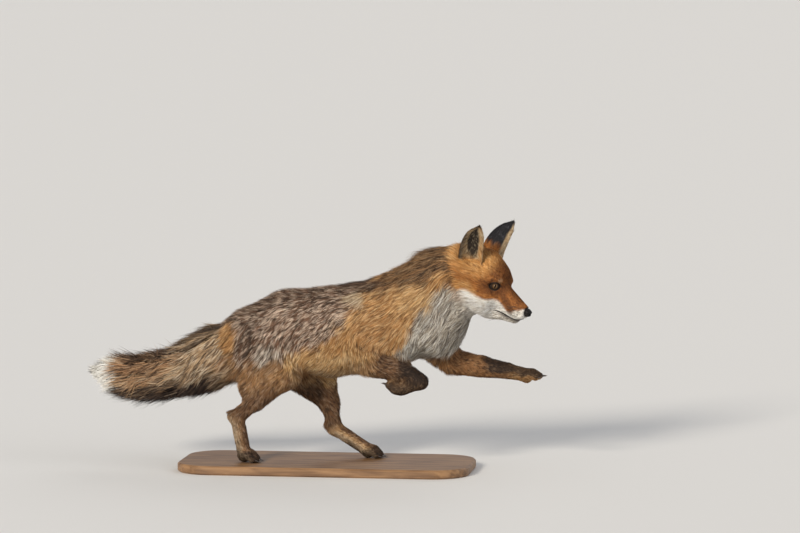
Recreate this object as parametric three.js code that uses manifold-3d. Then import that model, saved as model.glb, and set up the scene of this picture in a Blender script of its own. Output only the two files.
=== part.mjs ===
// A life-size still model of a red fox in its winter coat, low and moving, with both hind paws on a
// plain display board and both forepaws in the air.
// Millimetres. +X is the way the fox faces, +Y is its left side, +Z is up.
// The animal's own numbers are heights above the board's top, and the origin ends up under the middle
// of the whole model, on the surface that the board stands on.
//
// The body is a field: limbs and balls of muscle and coat that melt into one another. Each named part
// is meshed from that field in its own region, and thin flat cuts part it from its neighbours.

import * as THREE from "three";
import { SimplifyModifier } from "three/addons/modifiers/SimplifyModifier.js";
import { mergeVertices } from "three/addons/utils/BufferGeometryUtils.js";
import Module from "manifold-3d";

const wasm = await Module();
wasm.setup();

// ---------------------------------------------------------------- driving dimensions

const GAP = 0.3; // free space left by a cut between two parts
const SIDES = { right: -1, left: 1 };

const BOARD = { length: 590, width: 250, thick: 18, corner: 70, bevel: 3, middleX: 22 };

// How finely each region is first meshed, and the share of its vertices that is kept.
const MESH = {
  body: { cell: 12, keep: 0.175 },
  tail: { cell: 12, keep: 0.17 },
  head: { cell: 6, keep: 0.125 },
  leg: { cell: 8, keep: 0.135 },
  paw: { cell: 4.5, keep: 0.14 },
};

// Landmarks of the spine.
const SPINE = {
  rump: [-122, 0, 234],
  loin: [-52, 0, 263],
  ribs: [30, 0, 261],
  chest: [118, 0, 272],
  shoulders: [182, 0, 298],
  breast: [246, -2, 273],
  neck: [248, -5, 358],
  nape: [296, -13, 384],
  throat: [284, -12, 300],
};

const HEAD = { at: [375, -28, 360], turnDeg: 22, dropDeg: 19 };
const EYE = { at: [-2, 20, 1], radius: 8.5, opening: [11, 8, 5.6] };
const NOSE = { at: [75, 0, -28.5], size: [8.5, 9, 9.5] };
const MOUTH = { corner: [10, -47], front: [80, -50] };
const EAR = {
  root: [-59, 36, 30],
  bend: [-67, 46, 75],
  tip: [-48, 70, 112],
  facing: { right: [0.3, -0.93, 0], left: [0.02, 1, 0] },
  hollow: { at: [-57, 49, 45], size: [20, 20.5, 24] },
  halfWidth: 25,
  cup: 20,
  wall: 3.6,
};

const TAIL = {
  line: [
    [-160, 0, 232],
    [-230, 4, 193],
    [-300, 8, 170],
    [-360, 13, 159],
    [-412, 18, 166],
    [-448, 22, 172],
  ],
  // share of the way to the tip, and the coat's radius there
  radii: [
    [0, 52],
    [0.12, 64],
    [0.26, 61],
    [0.4, 57],
    [0.54, 51],
    [0.68, 48],
    [0.82, 44],
    [0.9, 37],
    [1, 16],
  ],
  steps: 9,
  brushAt: 0.4,
  tipAt: 0.88,
};

const FORELEG = {
  right: {
    shoulder: [172, -42, 262],
    elbow: [118, -52, 200],
    middle: [174, -52, 193],
    wrist: [218, -52, 168],
    knuckle: [180, -50, 153],
    toes: [-0.99, 0.05, -0.06],
    back: [0.06, 0, -0.99],
  },
  left: {
    shoulder: [200, 44, 262],
    elbow: [268, 47, 198],
    middle: [326, 47, 190],
    wrist: [378, 47, 182],
    knuckle: [419, 47, 173],
    toes: [0.95, 0, 0.3],
    back: [-0.3, 0, 0.95],
  },
};

const HINDLEG = {
  right: {
    hip: [-124, -34, 254],
    knee: [-52, -61, 180],
    hock: [-152, -54, 92],
    knuckle: [-138, -52, 16],
    ham: [-118, -44, 152],
  },
  left: {
    hip: [-110, 34, 252],
    knee: [2, 58, 187],
    hock: [29, 48, 60],
    knuckle: [98, 46, 16],
    ham: [-70, 42, 176],
  },
};

const TOE = { radius: 7.6, spread: 9.5, reach: 25 };
const CLAW = { radius: 2.6, length: 14, drop: 4 };

// ---------------------------------------------------------------- small helpers

const point = (p) => new THREE.Vector3(...p);
const lerp = THREE.MathUtils.lerp;
const between = (a, b, t) => a.map((v, i) => lerp(v, b[i], t));
const mirrored = ([x, y, z], side) => [x, y * side, z];

/** A value read from a short table of [place, value] rows. */
function along(rows, t) {
  const next = rows.findIndex(([place]) => place >= t);
  if (next <= 0) return rows[next < 0 ? rows.length - 1 : 0][1];
  const [a, b] = [rows[next - 1], rows[next]];
  return lerp(a[1], b[1], (t - a[0]) / (b[0] - a[0]));
}

// ---------------------------------------------------------------- the field

/** A tapered round limb from a to b. `wide` widens it across the body, `blend` is how softly it joins. */
function limb(a, b, ra, rb, wide = 1, blend = 20) {
  const d = b.map((v, i) => v - a[i]);
  const length2 = d[0] ** 2 + d[1] ** 2 + d[2] ** 2;
  const distance = (x, y, z) => {
    const px = x - a[0];
    const py = y - a[1];
    const pz = z - a[2];
    const t = Math.min(1, Math.max(0, (px * d[0] + py * d[1] + pz * d[2]) / length2));
    return Math.hypot(px - t * d[0], (py - t * d[1]) / wide, pz - t * d[2]) - lerp(ra, rb, t);
  };
  return { blend, distance };
}

/** A ball with three radii. */
function ball(c, r, blend = 20) {
  const distance = (x, y, z) => {
    const p = [x - c[0], y - c[1], z - c[2]];
    const k0 = Math.hypot(p[0] / r[0], p[1] / r[1], p[2] / r[2]);
    const k1 = Math.hypot(p[0] / r[0] ** 2, p[1] / r[1] ** 2, p[2] / r[2] ** 2);
    return k1 > 0 ? (k0 * (k0 - 1)) / k1 : -Math.min(...r);
  };
  return { blend, distance };
}

/** The distance to many shapes, each melted into those before it. */
function melted(shapes) {
  return (x, y, z) => {
    let d = Infinity;
    for (const s of shapes) {
      const e = s.distance(x, y, z);
      const h = Math.max(s.blend - Math.abs(d - e), 0);
      d = Math.min(d, e) - (h * h) / (4 * s.blend);
    }
    return d;
  };
}

/** Shapes that are given in a part's own frame. */
function placed(frame, shapes, blend) {
  const m = frame.clone().invert().elements;
  const inner = melted(shapes);
  const distance = (x, y, z) =>
    inner(
      m[0] * x + m[4] * y + m[8] * z + m[12],
      m[1] * x + m[5] * y + m[9] * z + m[13],
      m[2] * x + m[6] * y + m[10] * z + m[14],
    );
  return { blend, distance };
}

/** Shapes that are only worked out near a place. */
function within(place, reach, shapes, blend) {
  const inner = melted(shapes);
  const distance = (x, y, z) => {
    const away = Math.hypot(x - place[0], y - place[1], z - place[2]);
    return away > reach + 40 ? away - reach : inner(x, y, z);
  };
  return { blend, distance };
}

// ---------------------------------------------------------------- the animal's shapes

const STANDING = [[1, 0, 0], [0, 0, 1]]; // a paw on the floor: which way its toes and its back point

// The head's frame: x to the nose, y to its left ear, z up, from the point midway between the eyes.
const headFrame = new THREE.Matrix4()
  .makeTranslation(...HEAD.at)
  .multiply(new THREE.Matrix4().makeRotationZ(THREE.MathUtils.degToRad(-HEAD.turnDeg)))
  .multiply(new THREE.Matrix4().makeRotationY(THREE.MathUtils.degToRad(HEAD.dropDeg)));

function trunkShapes() {
  const s = SPINE;
  return [
    limb(s.rump, s.loin, 72, 80, 0.86),
    limb(s.loin, s.ribs, 80, 90, 0.82),
    limb(s.ribs, s.chest, 90, 89, 0.82),
    limb(s.chest, s.shoulders, 89, 83, 0.86, 30),
    limb(s.shoulders, s.neck, 82, 67, 0.9, 30),
    limb(s.neck, s.nape, 67, 61, 0.92, 30),
    limb(s.shoulders, s.breast, 78, 54, 0.95, 30),
    limb(s.breast, s.throat, 52, 34, 1, 26),
  ];
}

function tailShapes() {
  const shapes = [];
  for (let i = 0; i < TAIL.steps; i++) {
    const [t0, t1] = [i / TAIL.steps, (i + 1) / TAIL.steps];
    const ends = [t0, t1].map((t) => tailCurve.getPointAt(t).toArray());
    shapes.push(limb(...ends, along(TAIL.radii, t0), along(TAIL.radii, t1), 0.9, 14));
  }
  return shapes;
}

function headShapes() {
  const shapes = [
    ball([-50, 0, 10], [54, 47, 44], 16), // skull
    ball([-15, 0, 12], [32, 30, 31], 16), // forehead
    limb([10, 0, -6], [68, 0, -24], 13.5, 8, 0.9, 10), // bridge of the nose
    limb([12, 0, -22], [62, 0, -33], 25, 12.5, 0.95, 12), // muzzle
    limb([-24, 0, -53], [54, 0, -52], 16.5, 8, 1.05, 12), // lower jaw
  ];
  for (const side of Object.values(SIDES)) {
    const at = (p) => mirrored(p, side);
    shapes.push(
      limb(at([-6, 27, -24]), at([-58, 36, -20]), 19, 33, 1, 16), // cheek and its ruff
      limb(at([-14, 16, -44]), at([-62, 26, -42]), 17, 28, 1, 16), // corner of the jaw
      ball(at([56, 8.5, -37]), [18, 9, 9.5], 7), // upper lip
      ball(at([1, 17, 12]), [15, 10, 8], 8), // brow
      limb(at([-62, 22, 24]), at([-74, 27, 46]), 20, 12, 1, 12), // root of the ear
    );
  }
  return shapes;
}

function forelegShapes(leg) {
  return [
    limb(leg.shoulder, leg.elbow, 42, 28, 0.85, 26),
    limb(leg.elbow, leg.middle, 27, 22, 0.9, 10),
    limb(leg.middle, leg.wrist, 22, 17.5, 0.95, 8),
    within(leg.knuckle, 90, pawShapes(leg.wrist, leg.knuckle, leg.toes, leg.back, 15.5), 5),
  ];
}

function hindlegShapes(leg) {
  const shank = between(leg.knee, leg.hock, 0.6);
  return [
    limb(leg.hip, leg.knee, 56, 32, 0.85, 26),
    limb(leg.hip, leg.ham, 50, 32, 0.8, 24),
    limb(leg.ham, shank, 30, 20, 0.85, 16),
    limb(leg.knee, shank, 30, 20, 0.9, 14),
    limb(shank, leg.hock, 20, 16, 0.9, 8),
    limb(leg.hock, [leg.hock[0] - 14, leg.hock[1], leg.hock[2] + 4], 15, 11, 0.85, 8),
    within(leg.knuckle, 120, pawShapes(leg.hock, leg.knuckle, ...STANDING, 15), 5),
  ];
}

/** The four toes of a paw: where each starts, bends and ends. Side toes start further back. */
function toesOf(knuckle, forward, back) {
  const f = point(forward).normalize();
  const across = point(back).cross(f).normalize();
  const up = f.clone().cross(across);
  return [-1.5, -0.5, 0.5, 1.5].map((place) => {
    const behind = Math.abs(place) > 1 ? 7 : 0;
    const spot = (ahead, raised, apart) =>
      point(knuckle)
        .addScaledVector(f, ahead - behind)
        .addScaledVector(up, raised)
        .addScaledVector(across, place * TOE.spread * apart)
        .toArray();
    return {
      root: spot(2, 1, 0.9),
      bend: spot(TOE.reach * 0.55, 2, 1.02),
      tip: spot(TOE.reach, -9, 1.08),
      claw: spot(TOE.reach + CLAW.length, -9 - CLAW.drop, 1.1),
    };
  });
}

/** A paw: its long bones under the skin, the heel pad and the toes. */
function pawShapes(joint, knuckle, forward, back, radius) {
  const shapes = [limb(joint, knuckle, radius, radius - 1.5, 0.95, 6)];
  const pad = point(knuckle).addScaledVector(point(back).normalize(), -5).toArray();
  shapes.push(limb(knuckle, pad, 12, 11.4, 1.15, 6));
  for (const toe of toesOf(knuckle, forward, back)) {
    shapes.push(limb(toe.root, toe.bend, TOE.radius + 1, TOE.radius, 1, 5));
    shapes.push(limb(toe.bend, toe.tip, TOE.radius, TOE.radius, 1, 4));
  }
  return shapes;
}

const tailCurve = new THREE.CatmullRomCurve3(TAIL.line.map(point));

const whole = melted([
  ...trunkShapes(),
  ...tailShapes(),
  ...Object.values(FORELEG).flatMap(forelegShapes),
  ...Object.values(HINDLEG).flatMap(hindlegShapes),
  placed(headFrame, headShapes(), 24),
]);

// ---------------------------------------------------------------- from field to solid

const simplifier = new SimplifyModifier();

/** The field's surface inside a box, with one vertex for each cell that it crosses, drawn onto it. */
async function meshField(field, [low, high], { cell, keep }) {
  const n = low.map((v, i) => Math.ceil((high[i] - v) / cell) + 1);
  const inBox = (x, y, z) =>
    Math.max(
      Math.abs(x - (low[0] + high[0]) / 2) - (high[0] - low[0]) / 2,
      Math.abs(y - (low[1] + high[1]) / 2) - (high[1] - low[1]) / 2,
      Math.abs(z - (low[2] + high[2]) / 2) - (high[2] - low[2]) / 2,
    );
  const value = (x, y, z) => Math.max(field(x, y, z), inBox(x, y, z));
  const place = (i, j, k) => [low[0] + (i - 0.5) * cell, low[1] + (j - 0.5) * cell, low[2] + (k - 0.5) * cell];
  const size = n.map((v) => v + 1);
  const index = (i, j, k) => i + size[0] * (j + size[1] * k);
  const samples = new Float32Array(size[0] * size[1] * size[2]);
  for (let k = 0; k < size[2]; k++)
    for (let j = 0; j < size[1]; j++)
      for (let i = 0; i < size[0]; i++) samples[index(i, j, k)] = value(...place(i, j, k));

  const positions = [];
  const cellVertex = new Map();
  const corners = [0, 1, 2, 3, 4, 5, 6, 7].map((c) => [c & 1, (c >> 1) & 1, c >> 2]);
  const edges = corners.flatMap((a, i) =>
    [1, 2, 4].filter((bit) => !(i & bit)).map((bit) => [a, corners[i | bit]]),
  );
  for (let k = 0; k < n[2]; k++)
    for (let j = 0; j < n[1]; j++)
      for (let i = 0; i < n[0]; i++) {
        const sum = [0, 0, 0];
        let crossings = 0;
        for (const [a, b] of edges) {
          const va = samples[index(i + a[0], j + a[1], k + a[2])];
          const vb = samples[index(i + b[0], j + b[1], k + b[2])];
          if (va < 0 === vb < 0) continue;
          const t = va / (va - vb);
          a.forEach((v, axis) => (sum[axis] += lerp(v, b[axis], t)));
          crossings++;
        }
        if (!crossings) continue;
        cellVertex.set(index(i, j, k), positions.length / 3);
        const base = place(i, j, k);
        positions.push(...sum.map((v, axis) => base[axis] + (v / crossings) * cell));
      }

  const quads = [];
  const steps = [
    [1, 0, 0],
    [0, 1, 0],
    [0, 0, 1],
  ];
  for (let k = 0; k < n[2]; k++)
    for (let j = 0; j < n[1]; j++)
      for (let i = 0; i < n[0]; i++)
        steps.forEach((step, axis) => {
          if ([i, j, k].some((v, other) => other !== axis && v === 0)) return;
          const here = samples[index(i, j, k)] < 0;
          const there = samples[index(i + step[0], j + step[1], k + step[2])] < 0;
          if (here === there) return;
          const [u, v] = [steps[(axis + 1) % 3], steps[(axis + 2) % 3]];
          const around = [
            [0, 0],
            [1, 0],
            [1, 1],
            [0, 1],
          ].map(([a, b]) =>
            cellVertex.get(
              index(i - a * u[0] - b * v[0], j - a * u[1] - b * v[1], k - a * u[2] - b * v[2]),
            ),
          );
          quads.push(here ? around : around.reverse());
        });

  // Each vertex moves towards its neighbours' middle and back onto the surface.
  const neighbours = Array.from({ length: positions.length / 3 }, () => new Set());
  for (const q of quads) q.forEach((v, i) => neighbours[v].add(q[(i + 1) % 4]).add(q[(i + 3) % 4]));
  const reach = 0.4;
  for (let round = 0; round < 3; round++) {
    const before = positions.slice();
    neighbours.forEach((near, v) => {
      const p = [0, 1, 2].map((axis) => {
        let sum = 0;
        for (const w of near) sum += before[3 * w + axis];
        return lerp(before[3 * v + axis], sum / near.size, 0.5);
      });
      for (let pull = 0; pull < 2; pull++) {
        const d = value(...p);
        const slope = [0, 1, 2].map((axis) => {
          const q = p.slice();
          q[axis] += reach;
          return (value(...q) - d) / reach;
        });
        const steep = Math.max(0.2, slope[0] ** 2 + slope[1] ** 2 + slope[2] ** 2);
        slope.forEach((s, axis) => (p[axis] -= (d * s) / steep));
      }
      p.forEach((x, axis) => (positions[3 * v + axis] = x));
    });
  }
  const corner = (v) => point(positions.slice(3 * v, 3 * v + 3));
  const triangles = quads.flatMap(([a, b, c, d]) =>
    corner(a).distanceTo(corner(c)) < corner(b).distanceTo(corner(d))
      ? [a, b, c, a, c, d]
      : [a, b, d, b, c, d],
  );
  const fine = new THREE.BufferGeometry();
  fine.setAttribute("position", new THREE.Float32BufferAttribute(positions, 3));
  fine.setIndex(triangles);
  return solid(await simplifier.modify(fine, (1 - keep) * neighbours.length));
}

/** A three.js geometry as a solid. */
function solid(geometry) {
  const g = new THREE.BufferGeometry();
  const plain = geometry.index ? geometry.toNonIndexed() : geometry;
  g.setAttribute("position", plain.getAttribute("position"));
  const merged = mergeVertices(g, 1e-3);
  return new wasm.Manifold(
    new wasm.Mesh({
      numProp: 3,
      vertProperties: merged.attributes.position.array,
      triVerts: new Uint32Array(merged.index.array),
    }),
  );
}

const FAR = 1500;

/** Everything on the side of a plane that `normal` points to, less half a gap (or `back` from it). */
function beyond(at, normal, back = GAP / 2) {
  const n = point(normal).normalize();
  const turn = new THREE.Quaternion().setFromUnitVectors(new THREE.Vector3(0, 0, 1), n);
  const box = new THREE.BoxGeometry(FAR, FAR, FAR).translate(0, 0, FAR / 2 + back);
  return solid(box.applyQuaternion(turn).translate(...at));
}

const before = (at, normal) => beyond(at, normal.map((v) => -v));

/** The space inside several planes. */
const inside = (planes, back) =>
  planes.map(([at, normal]) => beyond(at, normal, back)).reduce((a, b) => a.intersect(b));

// ---------------------------------------------------------------- materials

const colours = {
  russet: [0x9a5a28, 0.85],
  grizzled: [0x6d5648, 0.9],
  white: [0xd8d2c8, 0.9],
  black: [0x1d1714, 0.8],
  brush: [0x7a5c40, 0.9],
  nose: [0x0c0b0b, 0.35],
  amber: [0x5a3c14, 0.15],
  claw: [0x2a2420, 0.5],
  wood: [0xb99668, 0.6],
};
const materials = Object.fromEntries(
  Object.entries(colours).map(([name, [color, roughness]]) => [
    name,
    new THREE.MeshStandardMaterial({ name, color, roughness, metalness: 0 }),
  ]),
);

const fox = new THREE.Group();
fox.position.z = BOARD.thick + GAP / 2;

function addNode(name, made, material, group = fox) {
  const m = made.getMesh();
  const corners = new Float32Array(m.numVert * 3);
  for (let i = 0; i < m.numVert; i++)
    corners.set(m.vertProperties.subarray(i * m.numProp, i * m.numProp + 3), i * 3);
  const g = new THREE.BufferGeometry();
  g.setAttribute("position", new THREE.BufferAttribute(corners, 3));
  g.setIndex(new THREE.BufferAttribute(new Uint32Array(m.triVerts), 1));
  g.computeVertexNormals();
  const mesh = new THREE.Mesh(g, materials[material]);
  mesh.name = name;
  group.add(mesh);
  return mesh;
}

// ---------------------------------------------------------------- where the parts meet

// Each plane is a place on it and the way that it faces.
const CUTS = {
  head: [[304, -14, 364], [0.9, -0.15, 0.3]],
  neck: [[214, 0, 325], [0.85, -0.05, 0.5]],
  chest: [[58, 0, 260], [1, 0, 0.1]],
  rump: [[-66, 0, 260], [1, 0, 0.15]],
  tail: [[-166, 0, 236], [-0.86, 0, -0.5]],
  floor: [[0, 0, 0], [0, 0, 1]],
};

// A leg's share of the body is what lies inside all of its planes.
const LEG_PLANES = {
  foreleg_right: [
    [[150, -60, 226], [-0.25, -0.36, -0.93]],
    [[150, -26, 200], [0, -1, 0]],
    [[76, -60, 200], [1, 0, 0.1]],
  ],
  foreleg_left: [
    [[250, 46, 214], [0.73, 0.1, -0.68]],
    [[250, 14, 214], [0, 1, 0]],
    [[300, 46, 250], [0, 0, -1]],
  ],
  hindleg_right: [
    [[-60, -30, 190], [0, -0.8, -0.6]],
    [[-8, -60, 190], [-0.9, 0, -0.45]],
    [[-160, -50, 160], [0.9, 0, -0.43]],
  ],
  hindleg_left: [
    [[-60, 30, 190], [0, 0.8, -0.6]],
    [[40, 60, 190], [-0.9, 0, -0.45]],
    [[-160, 50, 160], [0.9, 0, -0.43]],
  ],
};

/** The plane that halves a joint's bend, facing away from the joint's first neighbour. */
function jointCut(from, joint, to) {
  const towards = (p) => point(p).sub(point(joint)).normalize();
  return [joint, towards(to).sub(towards(from)).toArray()];
}

const boundsOf = (places, margin) => [
  [0, 1, 2].map((axis) => Math.min(...places.map((p) => p[axis])) - margin),
  [0, 1, 2].map((axis) => Math.max(...places.map((p) => p[axis])) + margin),
];

// ---------------------------------------------------------------- body and tail

const legs = Object.values(LEG_PLANES)
  .map((planes) => inside(planes, -GAP / 2))
  .reduce((a, b) => a.add(b));

async function body() {
  const made = (await meshField(whole, [[-200, -130, 120], [345, 130, 460]], MESH.body)).subtract(legs);
  const order = ["head", "neck", "chest", "rump", "tail"];
  const names = { neck: "russet", chest: "russet", loin: "grizzled", rump: "grizzled" };
  Object.entries(names).forEach(([name, material], i) => {
    const rear = beyond(...CUTS[order[i + 1]]);
    const part = order[i + 1] === "tail" ? before(...CUTS.tail) : rear;
    addNode(name, made.intersect(before(...CUTS[order[i]])).intersect(part), material);
  });
}
await body();

async function tail() {
  const at = (t) => [tailCurve.getPointAt(t).toArray(), tailCurve.getTangentAt(t).toArray()];
  const box = [[-480, -80, 90], [-120, 100, 330]];
  const made = (await meshField(whole, box, MESH.tail)).intersect(beyond(...CUTS.tail)).subtract(legs);
  const [brush, tip] = [at(TAIL.brushAt), at(TAIL.tipAt)];
  addNode("tail_root", made.intersect(before(...brush)), "brush");
  addNode("tail_brush", made.intersect(beyond(...brush)).intersect(before(...tip)), "brush");
  addNode("tail_tip", made.intersect(beyond(...tip)), "white");
}
await tail();

// ---------------------------------------------------------------- head

/** The ear's shell: a box of u across, v up and s through its wall, bent into a cupped leaf. */
function earShell(name, grow = 0) {
  const at = (p) => point(mirrored(p, SIDES[name]));
  const spine = new THREE.QuadraticBezierCurve3(at(EAR.root), at(EAR.bend), at(EAR.tip));
  const start = spine.getTangent(0);
  const up = at(EAR.tip).sub(at(EAR.root)).normalize();
  const facing = point(EAR.facing[name]);
  facing.addScaledVector(up, -facing.dot(up)).normalize();
  const across = up.clone().cross(facing);
  const buried = 0.25; // how much of the shell lies under the head's surface
  const g = new THREE.BoxGeometry(2, 1 + buried, 1, 8, 7, 1);
  const places = g.getAttribute("position");
  for (let i = 0; i < places.count; i++) {
    const u = places.getX(i);
    const v = places.getY(i) + (1 - buried) / 2;
    const s = places.getZ(i);
    const rise = Math.max(v, 0);
    const half = Math.max(3, EAR.halfWidth * Math.sqrt(1 - rise ** 2.2)) + grow;
    const cup = EAR.cup * (1 - 0.8 * rise);
    const wall = EAR.wall * (1 - 0.4 * rise) + 5.4 * grow; // more, because the sides are steep
    const sunk = Math.min(v, 0) * 80 - (v < -0.9 * buried ? grow : 0);
    const p = spine
      .getPoint(rise)
      .addScaledVector(start, sunk)
      .addScaledVector(across, half * u)
      .addScaledVector(facing, cup * (u * u - 0.55) + s * wall);
    places.setXYZ(i, ...p.toArray());
  }
  return solid(g.applyMatrix4(headFrame));
}

/** A wedge across the head below the mouth's line, in front of its corner. */
function jawWedge() {
  const { corner, front } = MOUTH;
  const under = new THREE.Shape()
    .moveTo(...corner)
    .lineTo(...front)
    .lineTo(front[0], -100)
    .lineTo(corner[0] - 26, -100)
    .closePath();
  const g = new THREE.ExtrudeGeometry(under, { depth: 120, bevelEnabled: false });
  g.translate(0, 0, -60).rotateX(Math.PI / 2);
  return solid(g.applyMatrix4(headFrame));
}

/** A ball in the head, `grow` larger all round. */
function ballInHead(at, sizes, grow = 0) {
  const g = new THREE.SphereGeometry(1, 10, 7);
  g.scale(...sizes.map((r) => r + grow)).translate(...at);
  return solid(g.applyMatrix4(headFrame));
}

async function head() {
  const box = [[270, -150, 250], [490, 90, 530]];
  let skull = (await meshField(whole, box, MESH.head)).intersect(beyond(...CUTS.head));
  skull = skull.subtract(ballInHead(NOSE.at, NOSE.size, GAP));
  for (const [name, side] of Object.entries(SIDES)) {
    const eye = [mirrored(EYE.at, side), [EYE.radius, EYE.radius, EYE.radius]];
    const lids = mirrored([EYE.at[0], EYE.at[1] + 10, EYE.at[2]], side);
    skull = skull.subtract(ballInHead(...eye, GAP)).subtract(ballInHead(lids, EYE.opening));
    skull = skull.subtract(ballInHead(mirrored(EAR.hollow.at, side), EAR.hollow.size));
    skull = skull.subtract(earShell(name, GAP));
    addNode("eye_" + name, ballInHead(...eye), "amber");
    addNode("ear_" + name, earShell(name), "black");
  }
  const wedge = jawWedge();
  addNode("head", skull.subtract(wedge.translate([-GAP, 0, GAP])), "russet");
  addNode("lower_jaw", skull.intersect(wedge.translate([0, 0, -GAP])), "white");
  addNode("nose", ballInHead(NOSE.at, NOSE.size), "nose");
}
await head();

// ---------------------------------------------------------------- legs

/** A toe's claw, a cone that starts inside the toe and bends down. */
function claw(toe, grow = 0) {
  const [root, end] = [point(toe.tip), point(toe.claw)];
  const way = end.clone().sub(root);
  const length = way.length() + grow;
  const g = new THREE.ConeGeometry(CLAW.radius + grow, length, 6);
  g.translate(0, length / 2 - 2 * grow, 0);
  const turn = new THREE.Quaternion().setFromUnitVectors(new THREE.Vector3(0, 1, 0), way.normalize());
  return solid(g.applyQuaternion(turn).translate(...root.addScaledVector(way, 2)));
}

/** One leg: its share of the body, cut at two joints, with its paw and claws. */
async function leg(kind, side, { joints, bend, paw, toes, names }) {
  const [first, middle, joint, knuckle] = joints;
  const share = inside(LEG_PLANES[kind + "_" + side]);
  const limbs = (await meshField(whole, boundsOf([first, middle, joint], 60), MESH.leg))
    .intersect(share)
    .intersect(before(...paw));
  addNode(`${names[0]}_${side}`, limbs.intersect(before(...bend)), "russet");
  addNode(`${names[1]}_${side}`, limbs.intersect(beyond(...bend)), "russet");
  const box = boundsOf([joint, knuckle, ...toes.map((t) => t.tip)], 21);
  let foot = (await meshField(whole, box, MESH.paw))
    .intersect(beyond(...paw))
    .intersect(beyond(...CUTS.floor));
  toes.forEach((toe, i) => {
    foot = foot.subtract(claw(toe, GAP));
    addNode(`claw_${names[2]}_${side}_${i + 1}`, claw(toe), "claw");
  });
  addNode(`${names[2]}_${side}`, foot, "black");
}

for (const side of Object.keys(SIDES)) {
  const fore = FORELEG[side];
  await leg("foreleg", side, {
    joints: [fore.shoulder, fore.elbow, fore.wrist, fore.knuckle],
    bend: [between(fore.elbow, fore.middle, 0.1), point(fore.middle).sub(point(fore.elbow)).toArray()],
    paw: jointCut(fore.middle, fore.wrist, fore.knuckle),
    toes: toesOf(fore.knuckle, fore.toes, fore.back),
    names: ["upper_arm", "forearm", "forepaw"],
  });
  const hind = HINDLEG[side];
  await leg("hindleg", side, {
    joints: [hind.hip, hind.knee, hind.hock, hind.knuckle],
    bend: jointCut(hind.hip, hind.knee, hind.hock),
    paw: jointCut(hind.knee, hind.hock, hind.knuckle),
    toes: toesOf(hind.knuckle, ...STANDING),
    names: ["thigh", "shank", "hind_foot"],
  });
}

// ---------------------------------------------------------------- the board

function board() {
  const { length, width, thick, corner, bevel, middleX } = BOARD;
  const [x, y] = [length / 2 - bevel, width / 2 - bevel];
  const outline = new THREE.Shape()
    .moveTo(corner - x, -y)
    .lineTo(x - corner, -y)
    .absarc(x - corner, corner - y, corner, -Math.PI / 2, 0)
    .lineTo(x, y - corner)
    .absarc(x - corner, y - corner, corner, 0, Math.PI / 2)
    .lineTo(corner - x, y)
    .absarc(corner - x, y - corner, corner, Math.PI / 2, Math.PI)
    .lineTo(-x, corner - y)
    .absarc(corner - x, corner - y, corner, Math.PI, 1.5 * Math.PI);
  const g = new THREE.ExtrudeGeometry(outline, {
    depth: thick - 2 * bevel,
    bevelThickness: bevel,
    bevelSize: bevel,
    bevelSegments: 1,
    curveSegments: 5,
  });
  return solid(g.translate(middleX, 0, bevel));
}

const model = new THREE.Group();
model.add(fox);
addNode("stand_board", board(), "wood", model);

const extent = new THREE.Box3().setFromObject(model).getCenter(new THREE.Vector3());
model.position.set(-extent.x, -extent.y, 0);

export default model;
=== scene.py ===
# %% [markdown]
# # A red fox in mid-stride, dressed in its winter coat
# The solids give the fox's outline out to the tips of its hair. This lesson puts a living surface in
# that space: a skin that lies a coat's depth further in, three hundred thousand tufts of hair that
# bridge the gap, and the eyes, lids, nose, lips and whiskers that make the face. Everything is in
# metres, with +X towards the nose, +Y to the fox's left and +Z up.

# %% The frame
import math

import bmesh
import bpy
import numpy as np
from mathutils import Matrix, Vector
from mathutils.bvhtree import BVHTree
from mathutils.kdtree import KDTree


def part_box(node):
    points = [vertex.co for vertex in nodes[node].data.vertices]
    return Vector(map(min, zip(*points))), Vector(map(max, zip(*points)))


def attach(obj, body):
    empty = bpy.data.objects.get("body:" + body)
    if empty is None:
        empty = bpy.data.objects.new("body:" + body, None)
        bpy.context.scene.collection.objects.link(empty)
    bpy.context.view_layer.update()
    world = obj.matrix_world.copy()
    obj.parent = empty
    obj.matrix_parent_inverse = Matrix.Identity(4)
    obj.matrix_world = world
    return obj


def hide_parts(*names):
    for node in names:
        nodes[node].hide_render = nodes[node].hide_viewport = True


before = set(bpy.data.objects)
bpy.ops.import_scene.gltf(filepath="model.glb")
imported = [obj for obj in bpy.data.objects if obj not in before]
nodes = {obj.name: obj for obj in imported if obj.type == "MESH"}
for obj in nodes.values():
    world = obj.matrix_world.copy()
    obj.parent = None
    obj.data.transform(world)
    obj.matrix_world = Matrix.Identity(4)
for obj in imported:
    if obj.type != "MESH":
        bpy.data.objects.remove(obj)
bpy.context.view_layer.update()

# %% [markdown]
# ## Camera, floor and light
# The fox is seen from its right side, a little from the front and barely from above, through a long
# lens a good way off, so that near and far legs keep almost the same scale. The floor is one plain
# pale sheet. A wide warm sun stands behind the camera's left shoulder, and two weaker ones open the
# shadows.

# %% Camera
MM = 0.001
VIEW = {"azimuth": 8.0, "elevation": 5.0, "distance": 8.0, "lens": 180.0}
AIM = Vector((0.1708, 0.0, 0.41115))


def direction(azimuth, elevation):
    """The unit vector from the aim back to a camera or lamp. Azimuth 0 stands on -Y, 90 on +X."""
    a, e = math.radians(azimuth), math.radians(elevation)
    return Vector((math.sin(a) * math.cos(e), -math.cos(a) * math.cos(e), math.sin(e)))


def put_in_scene(name, data, place, aim):
    """Adds an object at a place, its own -Z turned to the aim, as cameras and lamps look."""
    obj = bpy.data.objects.new(name, data)
    bpy.context.scene.collection.objects.link(obj)
    obj.location = place
    obj.rotation_euler = (Vector(aim) - Vector(place)).to_track_quat("-Z", "Y").to_euler()
    return obj


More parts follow.
